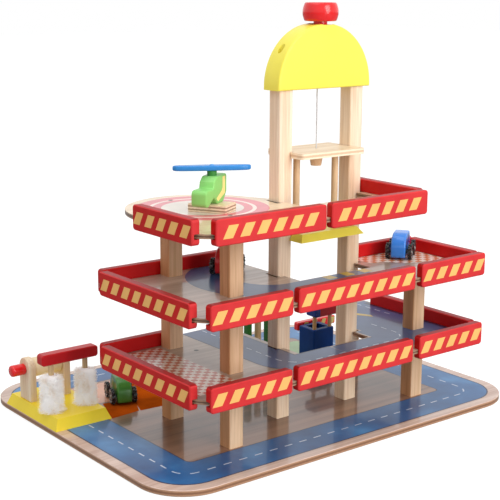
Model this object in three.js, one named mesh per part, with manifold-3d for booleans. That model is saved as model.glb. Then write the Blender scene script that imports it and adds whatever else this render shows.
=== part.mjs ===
// Toy parking garage with a lift: three decks on square posts, a lift tower, a car wash,
// a fuel pump, three cars and a helicopter. Millimetres, +X to the right along the front,
// +Y to the back, +Z up. The base board's underside is at z = 0.
import * as THREE from 'three';
import { mergeVertices } from 'three/addons/utils/BufferGeometryUtils.js';
import Module from 'manifold-3d';

const wasm = await Module();
wasm.setup();

// Clearances and cutting allowances
const seatGap = 0.3;
const runningGap = 0.5;
const towerGap = 2;
const cutOverrun = 1;
const weldDistance = 0.0005;
const fullTurn = Math.PI * 2;
const quarterTurn = Math.PI / 2;

// Base board
const baseLength = 600;
const baseWidth = 470;
const baseThickness = 8;
const baseCornerRadius = 65;
const baseEdgeRadius = 0.8;

// Posts and decks
const postSize = 22;
const postCornerRadius = 2.5;
const postLength = 92.25;
const deckThickness = 5.5;
const postLeftX = -146;
const postRightX = 174;
const postFrontY = -145;
const postBackY = -15;
const deckFrontCornerRadius = 36;
const deckSmallCornerRadius = 4;
const deckInset = 4;

// Fence bars that slip over the deck edges
const fenceHeight = 31;
const fenceThickness = 11.5;
const fenceDrop = 7.8;
const fenceGrooveDepth = 8.3;
const fenceCornerRadius = 4;
const fenceEdgeRadius = 1.2;
const longFence = 197.5;
const middleFence = 164.5;
const shortFence = 122;
const fenceGapRight = 12;
const fenceGapLeft = 8.5;

// Plan lines that the decks and fences share
const rightFace = 225;
const fenceCornerReach = 13;
const frontFences = shortFence * 2 + longFence + fenceGapLeft + fenceGapRight;
const leftFace = rightFace - frontFences - fenceCornerReach;
const frontFace = -227;
const backFace = 8;
const upperBackRightFace = -77;
const topRightFace = 113;

// Lift tower
const towerLeftX = -31.5;
const towerRightX = 90;
const towerY = -98;
const towerPostTop = 444;
const shaftLeftX = -33;
const shaftRightX = 91.5;
const shaftFrontY = -142;
const archRadius = 78.2;
const archFoot = 4.1;
const archShift = 0.7;
const archThickness = 32;
const archEdgeRadius = 2;
const archScrewHoleRadius = 4.5;
const archScrewHoleDepth = 14;
const archSpotRadius = 16;
const archSpotDepth = 1.5;
const stringHoleRadius = 2;
const archFloorThickness = 12;

// Winding knob and its spindle, glued together
const spindleRadius = 9;
const spindleWaistRadius = 6;
const spindleWaistLength = 20;
const spindleEndLength = 8;
const spindleEndClearance = 8;
const knobShiftX = 2.2;
const knobShiftY = -1.5;
const knobRadius = 23.3;
const knobEndRadius = 20;
const knobHeight = 23.6;
const knobRise = 4.3;
const knobDish = 2.4;
const knobLipWidth = 3;

// Lift cabin
const liftFloorBottom = 250;
const liftFloorThickness = 9.5;
const liftFloorLength = 110;
const liftFloorWidth = 74;
const liftFloorBevel = 7;
const liftRoofLength = 108;
const liftRoofWidth = 72;
const liftRoofThickness = 7.6;
const liftRoofCornerRadius = 4;
const liftHeadroom = 98;
const liftDowelRadius = 4.5;
const liftDowelSpacing = 67;
const liftGuideGap = 1.2;
const liftPlugTopRadius = 9.5;
const liftPlugBottomRadius = 7;
const liftPlugHeight = 15;
const stringRadius = 0.8;

// Helipad on the top deck
const helipadX = -140;
const helipadY = -77;
const helipadRadius = 97;
const helipadRightX = -56;

// Slanted edge behind the shaft on the first deck's right
const rampCornerX = 168;
const rampShaftY = -75;

// Landing at the back of the first deck
const landingGap = 1;
const landingLeftX = leftFace + deckInset + cutOverrun * 2 + shortFence + landingGap;
const landingLeftY = 23;
const landingRightY = 28;

// Car wash
const washBaseX = -300;
const washBaseBackMargin = 69;
const washBaseLength = 84;
const washBaseWidth = 139;
const washBaseY = baseWidth / 2 - washBaseBackMargin - washBaseWidth;
const washBaseHeight = 15;
const washBaseBevel = 6;
const washUprightThickness = 10;
const washUprightWidth = 30;
const washUprightHeight = 59;
const washUprightSetback = 98;
const washUprightY = washBaseY + washUprightSetback;
const washUprightLeftX = -292;
const washUprightRightX = -240;
const washUprightEdgeRadius = 1;
const washAxleHeight = 44;
const washAxleRadius = 3;
const washRollerRadius = 13;
const washCrankRadius = 7.8;
const washCrankLength = 20;
const washBrushSetback = 38;
const washBrushY = washBaseY + washBrushSetback;
const washBrushLeftX = -284;
const washBrushRightX = -233;
const washDowelRadius = 3.6;
const washBeamLength = 84;
const washBeamDepth = 15;
const washBeamHeight = 15;
const washBeamCornerRadius = 4;
const washBeamEdgeRadius = 1.2;
const washDowelLength = 65;

// Brush sleeves and their bristles
const brushLength = 50;
const brushSleeveRadius = 6.5;
const brushOuterRadius = 17.5;
const brushStrandRadius = 0.8;
const brushStrandRoot = 0.7;
const brushStrandDroop = 2.2;
const brushEndMargin = 2.4;
const brushLayers = 12;
const brushStrandsPerLayer = 13;
const strandSides = 3;

// Toy cars
const carLength = 56;
const carHeight = 33;
const carBodyWidth = 20;
const carGroundGap = 3;
const carEdgeRadius = 2;
const carWheelRadius = 11;
const carWheelWidth = 5.5;
const carLugHeight = 1.3;
const carLugs = 12;
const carHubGap = 2.6;
const carAxleRadius = 2;
const carWheelbase = 31;
const carNoseHeight = 15;
const carRoofRadius = 20;
const carNoseRadius = 8;
const carSillRadius = 4;

// Helicopter
const heliX = -143;
const heliY = -101;
const heliSkidSpan = 52;
const heliSkidDepth = 33;
const heliSkidHeight = 10;
const heliSkidEdgeRadius = 1;
const heliBodyThickness = 20;
const heliBodyEdgeRadius = 1.5;
const heliTailLength = 40;
const heliTailFoot = 32;
const heliTailRadius = 4.5;
const heliNoseLength = 23;
const heliNoseRise = 11;
const heliRoofRise = 0.8;
const heliTailTop = 20.5;
const heliRoofTop = 34;
const heliSlopeFoot = 17.5;
const heliLedgeBack = 15;
const heliLedgeHeight = 27.5;
const heliRoofRadius = 4;
const heliNotchHeight = 9;
const heliNotchBack = 15.6;
const heliBellyBack = 5;
const heliBellyFront = 10;
const heliHubRadius = 6;
const heliHubHeight = 6.1;
const heliRotorLength = 97;
const heliRotorWidth = 15;
const heliRotorThickness = 6.5;
const heliRotorEdgeRadius = 1.6;
const heliPinRadius = 2;
const heliPinDepth = 10;

// Fuel pump and canopy
const pumpX = 180;
const pumpY = 66;
const pumpLength = 41;
const pumpWidth = 36;
const pumpHeight = 50;
const pumpRecessLength = 25;
const pumpRecessWidth = 21;
const pumpRecessDepth = 14;
const pumpEdgeRadius = 1;
const pumpCornerRadius = 2.5;
const canopyPostRadius = 3;
const canopyPostHeight = 20;
const canopyLength = 55;
const canopyWidth = 24;
const canopyHeight = 14;
const canopyEdgeRadius = 1.5;
const canopyCornerRadius = 3;
const canopyPostEdge = 5;
const canopyFrontOverhang = 2;

// Rear crash rail
const railX = 199;
const railY = 92;
const railLength = 78;
const railThickness = 10;
const railHeight = 13;
const railClearance = 40;
const railLegWidth = 8;
const railLegInset = 18;
const railEdgeRadius = 1.2;

// Service stand behind the shaft
const standX = 71.5;
const standY = 76;
const standLength = 48;
const standWidth = 28;
const standFloorHeight = 9;
const standUprightThickness = 8;
const standUprightWidth = 9;
const standUprightHeight = 80;
const standEdgeRadius = 1;
const standCornerRadius = 2.5;
const standPostRadius = 5;
const standPostHeight = 76;

// Worked out from the sizes above
const washCrankReach = washUprightLeftX - seatGap - washCrankLength;
const overhangLeft = -baseLength / 2 - washCrankReach;
const towerX = (towerLeftX + towerRightX) / 2;
const levelPitch = postLength + deckThickness;
const deckBottom = (level) => baseThickness + postLength + (level - 1) * levelPitch;
const deckTop = (level) => deckBottom(level) + deckThickness;
const liftRoofBottom = liftFloorBottom + liftFloorThickness + liftHeadroom;
const washTop = baseThickness + washBaseHeight;

function paint(color, roughness) {
  return new THREE.MeshStandardMaterial({ color, roughness, metalness: 0 });
}

const plyBoard = paint(0xe6cdb0, 0.35);
const beech = paint(0xe4c7a1, 0.5);
const paleWood = paint(0xf0d9b8, 0.55);
const redPaint = paint(0xe4222c, 0.4);
const yellowPaint = paint(0xf9ee4e, 0.4);
const creamPaint = paint(0xe9d98a, 0.5);
const greenPaint = paint(0x6cc04f, 0.45);
const bluePaint = paint(0x2f74c9, 0.4);
const navyPaint = paint(0x173a75, 0.4);
const blackRubber = paint(0x16161a, 0.6);
const whiteBristle = paint(0xf2f2f4, 0.9);
const stringFibre = paint(0xc9c9c9, 0.8);

const garage = new THREE.Group();
garage.name = 'toy_parking_garage';
garage.position.x = overhangLeft / 2;

function place(name, geometry, material, x = 0, y = 0, z = 0, turn = 0) {
  const mesh = new THREE.Mesh(geometry, material);
  mesh.name = name;
  mesh.position.set(x, y, z);
  mesh.rotation.z = turn;
  garage.add(mesh);
  return mesh;
}

// A closed three.js mesh as a solid that can be cut or joined
function solid(geometry) {
  const bare = geometry.clone();
  bare.deleteAttribute('normal');
  bare.deleteAttribute('uv');
  const welded = mergeVertices(bare, weldDistance);
  return new wasm.Manifold(new wasm.Mesh({
    numProp: 3,
    vertProperties: new Float32Array(welded.getAttribute('position').array),
    triVerts: new Uint32Array(welded.getIndex().array),
  }));
}

function geometryOf(body) {
  const mesh = body.getMesh();
  const geometry = new THREE.BufferGeometry();
  geometry.setAttribute('position', new THREE.BufferAttribute(new Float32Array(mesh.vertProperties), 3));
  geometry.setIndex(new THREE.BufferAttribute(new Uint32Array(mesh.triVerts), 1));
  geometry.computeVertexNormals();
  return geometry;
}

function cut(geometry, ...tools) {
  return geometryOf(tools.reduce((body, tool) => body.subtract(solid(tool)), solid(geometry)));
}

function join(geometry, ...others) {
  return geometryOf(others.reduce((body, other) => body.add(solid(other)), solid(geometry)));
}

// Points are [x, y, corner radius], counterclockwise
function roundedOutline(points) {
  const shape = new THREE.Shape();
  points.forEach(([x, y, radius], index) => {
    const here = new THREE.Vector2(x, y);
    const before = new THREE.Vector2(...points.at(index - 1)).sub(here).normalize();
    const after = new THREE.Vector2(...points[(index + 1) % points.length]).sub(here).normalize();
    const draw = index === 0 ? 'moveTo' : 'lineTo';
    if (!radius) {
      shape[draw](x, y);
      return;
    }
    const half = Math.acos(THREE.MathUtils.clamp(before.dot(after), -1, 1)) / 2;
    const run = radius / Math.tan(half);
    const centre = before.clone().add(after).normalize().multiplyScalar(radius / Math.sin(half)).add(here);
    const start = before.clone().multiplyScalar(run).add(here);
    const end = after.clone().multiplyScalar(run).add(here);
    const clockwise = before.cross(after) > 0;
    shape[draw](start.x, start.y);
    shape.absarc(
      centre.x, centre.y, radius,
      Math.atan2(start.y - centre.y, start.x - centre.x),
      Math.atan2(end.y - centre.y, end.x - centre.x),
      clockwise,
    );
  });
  shape.closePath();
  return shape;
}

function roundedRectangle(length, width, radius) {
  const x = length / 2;
  const y = width / 2;
  return roundedOutline([[-x, -y, radius], [x, -y, radius], [x, y, radius], [-x, y, radius]]);
}

// A board of the given outline, from z = 0 up, with its edges softened inside that outline
function board(shape, thickness, edgeRadius = 0, curveSegments = 6) {
  const geometry = new THREE.ExtrudeGeometry(shape, {
    depth: thickness - edgeRadius * 2,
    bevelEnabled: edgeRadius > 0,
    bevelThickness: edgeRadius,
    bevelSize: edgeRadius,
    bevelOffset: -edgeRadius,
    bevelSegments: 1,
    curveSegments,
  });
  geometry.translate(0, 0, edgeRadius);
  return geometry;
}

// A board whose outline lies in the X-Z plane, centred on y = 0
function uprightBoard(shape, thickness, edgeRadius, curveSegments) {
  const geometry = board(shape, thickness, edgeRadius, curveSegments);
  geometry.translate(0, 0, -thickness / 2);
  geometry.rotateX(quarterTurn);
  return geometry;
}

function block(length, width, height, x = 0, y = 0, z = 0) {
  const geometry = new THREE.BoxGeometry(length, width, height);
  geometry.translate(x, y, z + height / 2);
  return geometry;
}

// A round bar along +Z from z = 0
function bar(radius, length, sides = 20) {
  const geometry = new THREE.CylinderGeometry(radius, radius, length, sides);
  geometry.rotateX(quarterTurn);
  geometry.translate(0, 0, length / 2);
  return geometry;
}

function turned(profile, sides = 28) {
  const points = profile.map(([radius, height]) => new THREE.Vector2(radius, height));
  const geometry = new THREE.LatheGeometry(points, sides);
  geometry.rotateX(quarterTurn);
  return geometry;
}

// A slab whose side faces slope in towards the top
function bevelledSlab(length, width, height, bevel) {
  const geometry = new THREE.CylinderGeometry(Math.SQRT1_2, Math.SQRT1_2, height, 4);
  geometry.rotateY(Math.PI / 4);
  geometry.rotateX(quarterTurn);
  const position = geometry.getAttribute('position');
  for (let i = 0; i < position.count; i += 1) {
    const inset = position.getZ(i) > 0 ? bevel * 2 : 0;
    position.setX(i, position.getX(i) * (length - inset));
    position.setY(i, position.getY(i) * (width - inset));
  }
  geometry.translate(0, 0, height / 2);
  return geometry;
}

function addBase() {
  const shape = roundedRectangle(baseLength, baseWidth, baseCornerRadius);
  place('base_board', board(shape, baseThickness, baseEdgeRadius, 6), plyBoard);
}

// Notch that a tower post runs through, on the side of the shaft named by its edge
function postNotch(shaftEdge, postX) {
  const outward = Math.sign(postX - towerX);
  const outer = postX + outward * (postSize / 2 + towerGap);
  const front = towerY - postSize / 2 - towerGap;
  const back = towerY + postSize / 2 + towerGap;
  const corners = [[shaftEdge, front], [outer, front], [outer, back], [shaftEdge, back]];
  return corners.map(([x, y]) => [x, y, 0]);
}

const deckLeft = leftFace + deckInset;
const deckFront = frontFace + deckInset;
const deckRight = rightFace - deckInset;
const deckBack = backFace - deckInset;

function firstDeckOutline() {
  return roundedOutline([
    [deckLeft, deckFront, deckFrontCornerRadius],
    [deckRight, deckFront, deckSmallCornerRadius],
    [deckRight, deckBack, deckSmallCornerRadius],
    [rampCornerX, deckBack, deckSmallCornerRadius],
    [shaftRightX, rampShaftY, 0],
    ...postNotch(shaftRightX, towerRightX).reverse(),
    [shaftRightX, shaftFrontY, 0],
    [shaftLeftX, shaftFrontY, 0],
    ...postNotch(shaftLeftX, towerLeftX),
    [shaftLeftX, landingRightY, deckSmallCornerRadius],
    [landingLeftX, landingLeftY, deckSmallCornerRadius],
    [landingLeftX, deckBack, 0],
    [deckLeft, deckBack, deckSmallCornerRadius],
  ]);
}

function secondDeckOutline() {
  const rightBack = upperBackRightFace - deckInset;
  return roundedOutline([
    [deckLeft, deckFront, deckFrontCornerRadius],
    [deckRight, deckFront, deckSmallCornerRadius],
    [deckRight, rightBack, deckSmallCornerRadius],
    [shaftRightX, rightBack, 0],
    ...postNotch(shaftRightX, towerRightX).reverse(),
    [shaftRightX, shaftFrontY, 0],
    [shaftLeftX, shaftFrontY, 0],
    ...postNotch(shaftLeftX, towerLeftX),
    [shaftLeftX, deckBack, deckSmallCornerRadius],
    [deckLeft, deckBack, deckSmallCornerRadius],
  ]);
}

function thirdDeckOutline() {
  const shape = new THREE.Shape();
  const right = topRightFace - deckInset;
  const fenceBack = frontFace + fenceThickness + cutOverrun * 2 + shortFence;
  const notchRight = postNotch(shaftRightX, towerRightX);
  const [, [notchOuterX, notchFrontY]] = notchRight;
  const corner = deckFrontCornerRadius;
  const startAngle = Math.acos((helipadRightX - helipadX) / helipadRadius);
  const leftAngle = Math.PI + Math.asin((helipadY - (fenceBack + deckInset)) / helipadRadius);
  const leftY = helipadY + Math.sin(leftAngle) * helipadRadius;
  shape.moveTo(deckLeft + corner, deckFront);
  shape.lineTo(right, deckFront);
  shape.lineTo(right, fenceBack);
  shape.lineTo(notchOuterX, fenceBack);
  shape.lineTo(notchOuterX, notchFrontY);
  shape.lineTo(shaftRightX, notchFrontY);
  shape.lineTo(shaftRightX, shaftFrontY);
  shape.lineTo(shaftLeftX, shaftFrontY);
  postNotch(shaftLeftX, towerLeftX).forEach(([x, y]) => shape.lineTo(x, y));
  shape.lineTo(shaftLeftX, helipadY + cutOverrun);
  shape.absarc(helipadX, helipadY, helipadRadius, startAngle, leftAngle, false);
  shape.lineTo(deckLeft, leftY);
  shape.lineTo(deckLeft, deckFront + corner);
  shape.absarc(deckLeft + corner, deckFront + corner, corner, Math.PI, Math.PI + quarterTurn, false);
  shape.closePath();
  return shape;
}

function addDecks() {
  const outlines = [firstDeckOutline(), secondDeckOutline(), thirdDeckOutline()];
  outlines.forEach((outline, index) => {
    const level = index + 1;
    place(`deck_${level}`, board(outline, deckThickness, 0, level * 6), plyBoard, 0, 0, deckBottom(level));
  });
}

function postBar(length) {
  return board(roundedRectangle(postSize, postSize, postCornerRadius), length, 0, 2);
}

function addPosts() {
  const corners = {
    left_front: [postLeftX, postFrontY, 3],
    left_back: [postLeftX, postBackY, 3],
    right_front: [postRightX, postFrontY, 2],
    right_back: [postRightX, postBackY, 1],
  };
  Object.entries(corners).forEach(([corner, [x, y, levels]]) => {
    for (let level = 1; level <= levels; level += 1) {
      const z = level === 1 ? baseThickness : deckTop(level - 1);
      place(`post_${corner}_${level}`, postBar(postLength), beech, x, y, z);
    }
  });
  const towerLength = towerPostTop - baseThickness;
  place('tower_post_left', postBar(towerLength), beech, towerLeftX, towerY, baseThickness);
  place('tower_post_right', postBar(towerLength), beech, towerRightX, towerY, baseThickness);
}

// Fence bar along +X from x = 0, its outer face at y = 0 and its groove open towards +Y
function fenceBar(length) {
  const shape = roundedRectangle(length, fenceHeight, fenceCornerRadius);
  const body = uprightBoard(shape, fenceThickness, fenceEdgeRadius, 2);
  body.translate(length / 2, fenceThickness / 2, fenceHeight / 2);
  const groove = block(
    length + cutOverrun * 2, fenceGrooveDepth + cutOverrun, deckThickness + seatGap * 2,
    length / 2, fenceThickness - (fenceGrooveDepth - cutOverrun) / 2, fenceDrop - seatGap,
  );
  return cut(body, groove);
}

// Side says which way the fence's outer face looks; start is its end at the lower coordinate
function addFence(name, level, side, start, length, face) {
  const z = deckBottom(level) - fenceDrop;
  const spots = {
    front: [start, face, 0],
    back: [start + length, face, Math.PI],
    left: [face, start + length, -quarterTurn],
    right: [face, start, quarterTurn],
  };
  const [x, y, turn] = spots[side];
  place(`fence_${level}_${name}`, fenceBar(length), redPaint, x, y, z, turn);
}

function addFences() {
  const sideStart = frontFace + fenceThickness + cutOverrun * 2;
  const leftEnd = backFace - fenceThickness - cutOverrun * 2;
  const frontRightStart = rightFace - shortFence;
  const frontMiddleStart = frontRightStart - fenceGapRight - longFence;
  const frontLeftStart = frontMiddleStart - fenceGapLeft - shortFence;
  for (const level of [1, 2]) {
    addFence('left', level, 'left', leftEnd - longFence, longFence, leftFace);
    addFence('front_left', level, 'front', frontLeftStart, shortFence, frontFace);
    addFence('front_middle', level, 'front', frontMiddleStart, longFence, frontFace);
    addFence('front_right', level, 'front', frontRightStart, shortFence, frontFace);
  }
  const backStart = leftFace + deckInset + cutOverrun * 2;
  addFence('back_left', 1, 'back', backStart, shortFence, backFace);
  addFence('back_left', 2, 'back', backStart, longFence, backFace);
  addFence('right', 1, 'right', sideStart, longFence, rightFace);
  addFence('right', 2, 'right', sideStart, shortFence, rightFace);
  addFence('back_right', 2, 'back', rightFace - shortFence, shortFence, upperBackRightFace);
  const topRightStart = topRightFace - deckInset - cutOverrun - middleFence;
  addFence('left', 3, 'left', sideStart + deckInset + cutOverrun, shortFence, leftFace);
  addFence('front_left', 3, 'front', topRightStart - fenceGapLeft - middleFence, middleFence, frontFace);
  addFence('front_right', 3, 'front', topRightStart, middleFence, frontFace);
  addFence('right', 3, 'right', sideStart, shortFence, topRightFace);
}

const archTop = towerPostTop + archFoot + archRadius;
const knobBottom = archTop - archSpotDepth + knobRise;
const spindleBottom = towerPostTop + archFloorThickness + spindleEndClearance;

function addArch() {
  const shape = new THREE.Shape();
  shape.moveTo(-archRadius, 0);
  shape.lineTo(archRadius, 0);
  shape.lineTo(archRadius, archFoot);
  shape.absarc(0, archFoot, archRadius, 0, Math.PI, false);
  shape.closePath();
  const head = uprightBoard(shape, archThickness, archEdgeRadius, 16);
  const height = archTop - towerPostTop;
  const screwHoles = [towerLeftX, towerRightX].map((x) => {
    const offset = x - towerX - archShift;
    const surface = archFoot + Math.sqrt(archRadius ** 2 - offset ** 2);
    const hole = bar(archScrewHoleRadius, height, 14);
    hole.translate(offset, 0, surface - archScrewHoleDepth);
    return hole;
  });
  const spot = bar(archSpotRadius, height, 24);
  spot.translate(knobShiftX - archShift, knobShiftY, height - archSpotDepth);
  const bore = bar(spindleRadius + runningGap, height);
  bore.translate(knobShiftX - archShift, knobShiftY, archFloorThickness);
  const stringHole = bar(stringHoleRadius, height, 12);
  stringHole.translate(-archShift, 0, -cutOverrun);
  const cutArch = cut(head, ...screwHoles, spot, bore, stringHole);
  place('tower_arch', cutArch, yellowPaint, towerX + archShift, towerY, towerPostTop);
}

function addWindingKnob() {
  const length = knobBottom - spindleBottom;
  const waistTop = spindleEndLength + spindleWaistLength;
  const taper = spindleRadius - spindleWaistRadius;
  const middle = length + knobHeight / 2;
  const top = length + knobHeight;
  const knob = turned([
    [0, 0],
    [spindleRadius, 0],
    [spindleRadius, spindleEndLength - taper],
    [spindleWaistRadius, spindleEndLength],
    [spindleWaistRadius, waistTop],
    [spindleRadius, waistTop + taper],
    [spindleRadius, length],
    [knobEndRadius, length],
    [(knobRadius * 3 + knobEndRadius) / 4, (middle + length) / 2],
    [knobRadius, middle],
    [(knobRadius * 3 + knobEndRadius) / 4, (middle + top) / 2],
    [knobEndRadius, top],
    [knobEndRadius - knobLipWidth, top],
    [knobEndRadius / 2, top - knobDish],
    [0, top - knobDish * 1.25],
  ], 24);
  place('winding_knob', knob, redPaint, towerX + knobShiftX, towerY + knobShiftY, knobBottom - length);
}

// Boxes that leave room for the tower posts in a lift board of the given length and height
function guideNotches(width, height) {
  return [towerLeftX, towerRightX].map((x) => {
    const size = postSize + liftGuideGap * 2;
    const notch = block(size, size, height + cutOverrun * 2, x - towerX, 0, -cutOverrun);
    return notch;
  });
}

function addLift() {
  const floor = bevelledSlab(liftFloorLength, liftFloorWidth, liftFloorThickness, liftFloorBevel);
  const floorCut = cut(floor, ...guideNotches(liftFloorWidth, liftFloorThickness));
  place('lift_floor', floorCut, yellowPaint, towerX, towerY, liftFloorBottom);
  const roofShape = roundedRectangle(liftRoofLength, liftRoofWidth, liftRoofCornerRadius);
  const roof = board(roofShape, liftRoofThickness, 0, 3);
  const stringHole = bar(stringHoleRadius, liftRoofThickness + cutOverrun * 2, 12);
  stringHole.translate(0, 0, -cutOverrun);
  const roofCut = cut(roof, ...guideNotches(liftRoofWidth, liftRoofThickness), stringHole);
  const dowels = [-liftDowelSpacing / 2, liftDowelSpacing / 2].map((x) => {
    const dowel = bar(liftDowelRadius, liftHeadroom + liftRoofThickness / 2, 16);
    dowel.translate(x, 0, -liftHeadroom);
    return dowel;
  });
  const plug = turned([
    [0, -liftPlugHeight],
    [liftPlugBottomRadius, -liftPlugHeight],
    [liftPlugTopRadius, liftRoofThickness / 2],
    [0, liftRoofThickness / 2],
  ], 20);
  place('lift_frame', join(roofCut, ...dowels, plug), paleWood, towerX, towerY, liftRoofBottom);
  const stringBottom = liftRoofBottom + liftRoofThickness / 2 + seatGap;
  const string = bar(stringRadius, spindleBottom - seatGap - stringBottom, 8);
  place('lift_string', string, stringFibre, towerX, towerY, stringBottom);
}

// Round-topped upright of the car wash, standing in the Y-Z plane with an axle bore
function washUpright() {
  const half = washUprightWidth / 2;
  const shape = roundedOutline([
    [-half, 0, 0],
    [half, 0, 0],
    [half, washUprightHeight, half - washUprightEdgeRadius],
    [-half, washUprightHeight, half - washUprightEdgeRadius],
  ]);
  const upright = uprightBoard(shape, washUprightThickness, washUprightEdgeRadius, 8);
  const bore = bar(washAxleRadius + seatGap, washUprightThickness + cutOverrun * 2, 16);
  bore.translate(0, 0, -washUprightThickness / 2 - cutOverrun);
  bore.rotateX(quarterTurn);
  bore.translate(0, 0, washAxleHeight);
  const geometry = cut(upright, bore);
  geometry.rotateZ(quarterTurn);
  return geometry;
}

function addWashRoller() {
  const near = washCrankReach;
  const inner = washUprightLeftX + washUprightThickness + runningGap;
  const outer = washUprightRightX - runningGap;
  const far = washUprightRightX + washUprightThickness - seatGap;
  const crankEnd = washUprightLeftX - seatGap;
  const soft = washUprightEdgeRadius;
  const roller = turned([
    [0, near],
    [washCrankRadius - soft, near],
    [washCrankRadius, near + soft],
    [washCrankRadius, crankEnd - soft],
    [washCrankRadius - soft, crankEnd],
    [washAxleRadius, crankEnd],
    [washAxleRadius, inner],
    [washRollerRadius, inner],
    [washRollerRadius, outer],
    [washAxleRadius, outer],
    [washAxleRadius, far],
    [0, far],
  ], 20);
  roller.rotateY(quarterTurn);
  place('wash_roller', roller, redPaint, 0, washUprightY, washTop + washAxleHeight);
}

function addWashBeam() {
  const centreX = (washBrushLeftX + washBrushRightX) / 2;
  const shape = roundedRectangle(washBeamLength, washBeamHeight, washBeamCornerRadius);
  const beam = uprightBoard(shape, washBeamDepth, washBeamEdgeRadius, 4);
  beam.translate(0, 0, washDowelLength + washBeamHeight / 2);
  const dowels = [washBrushLeftX, washBrushRightX].map((x) => {
    const dowel = bar(washDowelRadius, washDowelLength + washBeamHeight / 2, 16);
    dowel.translate(x - centreX, 0, 0);
    return dowel;
  });
  place('wash_beam', join(beam, ...dowels), redPaint, centreX, washBrushY, washTop);
}

// One pointed strand from the sleeve out to the brush's rim, its tip hanging a little lower
function strandPoints(angle, height) {
  const points = [];
  const outward = new THREE.Vector3(Math.cos(angle), Math.sin(angle), 0);
  const across = new THREE.Vector3(-Math.sin(angle), Math.cos(angle), 0);
  const root = outward.clone().multiplyScalar(brushSleeveRadius - brushStrandRoot);
  for (let side = 0; side < strandSides; side += 1) {
    const turn = (side / strandSides) * fullTurn;
    const point = root.clone().addScaledVector(across, Math.cos(turn) * brushStrandRadius);
    points.push(point.x, point.y, height + Math.sin(turn) * brushStrandRadius);
  }
  const tip = outward.multiplyScalar(brushOuterRadius);
  points.push(tip.x, tip.y, height - brushStrandDroop);
  return points;
}

function brushStrands() {
  const positions = [];
  const indices = [];
  const spread = brushLength - brushEndMargin * 2 - brushStrandDroop;
  for (let layer = 0; layer < brushLayers; layer += 1) {
    const height = brushEndMargin + brushStrandDroop + (layer / (brushLayers - 1)) * spread;
    for (let strand = 0; strand < brushStrandsPerLayer; strand += 1) {
      const angle = ((strand + (layer % 2) / 2 + 1 / 4) / brushStrandsPerLayer) * fullTurn;
      const first = positions.length / 3;
      positions.push(...strandPoints(angle, height));
      for (let side = 0; side < strandSides; side += 1) {
        indices.push(first + side, first + ((side + 1) % strandSides), first + strandSides);
      }
      indices.push(first, first + 2, first + 1);
    }
  }
  const geometry = new THREE.BufferGeometry();
  geometry.setAttribute('position', new THREE.Float32BufferAttribute(positions, 3));
  geometry.setIndex(indices);
  return geometry;
}

function addBrushes() {
  const inner = washDowelRadius + seatGap;
  const sleeve = turned([
    [inner, 0],
    [brushSleeveRadius, 0],
    [brushSleeveRadius, brushLength],
    [inner, brushLength],
    [inner, 0],
  ], brushStrandsPerLayer * 2);
  const brush = join(sleeve, brushStrands());
  place('wash_brush_left', brush, whiteBristle, washBrushLeftX, washBrushY, washTop + seatGap);
  place('wash_brush_right', brush.clone(), whiteBristle, washBrushRightX, washBrushY, washTop + seatGap);
}

function addCarWash() {
  const slab = bevelledSlab(washBaseLength, washBaseWidth, washBaseHeight, washBaseBevel);
  const slabX = washBaseX + washBaseLength / 2;
  place('wash_base', slab, yellowPaint, slabX, washBaseY + washBaseWidth / 2, baseThickness);
  const leftX = washUprightLeftX + washUprightThickness / 2;
  const rightX = washUprightRightX + washUprightThickness / 2;
  place('wash_upright_left', washUpright(), paleWood, leftX, washUprightY, washTop);
  place('wash_upright_right', washUpright(), paleWood, rightX, washUprightY, washTop);
  addWashRoller();
  addWashBeam();
  addBrushes();
}

// Car body drawn from the side, nose towards +X, with bores for both axles
function carBody() {
  const half = carLength / 2;
  const axleZ = carWheelRadius - carGroundGap;
  const shape = roundedOutline([
    [-half, 0, carSillRadius],
    [half, 0, carSillRadius],
    [half, carNoseHeight, carNoseRadius],
    [half / 2, carHeight, carRoofRadius / 3],
    [-half, carHeight, carRoofRadius],
  ]);
  [-carWheelbase / 2, carWheelbase / 2].forEach((x) => {
    const bore = new THREE.Path();
    bore.absarc(x, axleZ, carAxleRadius + seatGap, 0, fullTurn, true);
    shape.holes.push(bore);
  });
  return uprightBoard(shape, carBodyWidth, carEdgeRadius, 4);
}

// Two lugged wheels on their axle, along Y
function carWheelset() {
  const shape = new THREE.Shape();
  const steps = carLugs * 4;
  for (let step = 0; step < steps; step += 1) {
    const angle = (step / steps) * fullTurn;
    const radius = step % 4 < 2 ? carWheelRadius : carWheelRadius - carLugHeight;
    const draw = step === 0 ? 'moveTo' : 'lineTo';
    shape[draw](Math.cos(angle) * radius, Math.sin(angle) * radius);
  }
  shape.closePath();
  const offset = carBodyWidth / 2 + carHubGap + carWheelWidth / 2;
  const wheels = [-offset, offset].map((y) => {
    const wheel = uprightBoard(shape, carWheelWidth, 0, 1);
    wheel.translate(0, y, 0);
    return wheel;
  });
  const axle = bar(carAxleRadius, offset * 2, 12);
  axle.rotateX(quarterTurn);
  axle.translate(0, offset, 0);
  return join(axle, ...wheels);
}

function addCar(name, material, x, y, floor, heading) {
  const turn = THREE.MathUtils.degToRad(heading);
  place(`car_${name}_body`, carBody(), material, x, y, floor + carGroundGap, turn);
  ['rear', 'front'].forEach((end, index) => {
    const along = (index - 0.5) * carWheelbase;
    const wheelX = x + Math.cos(turn) * along;
    const wheelY = y + Math.sin(turn) * along;
    place(`car_${name}_wheels_${end}`, carWheelset(), blackRubber, wheelX, wheelY, floor + carWheelRadius, turn);
  });
}

const carBlueX = 171;
const carBlueY = -119.2;
const carBlueHeading = 36.5;
const carGreenX = -166.1;
const carGreenY = 84.5;
const carGreenHeading = 71;
const carRedX = -78.9;
const carRedY = -47.5;
const carRedHeading = 38;

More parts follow.
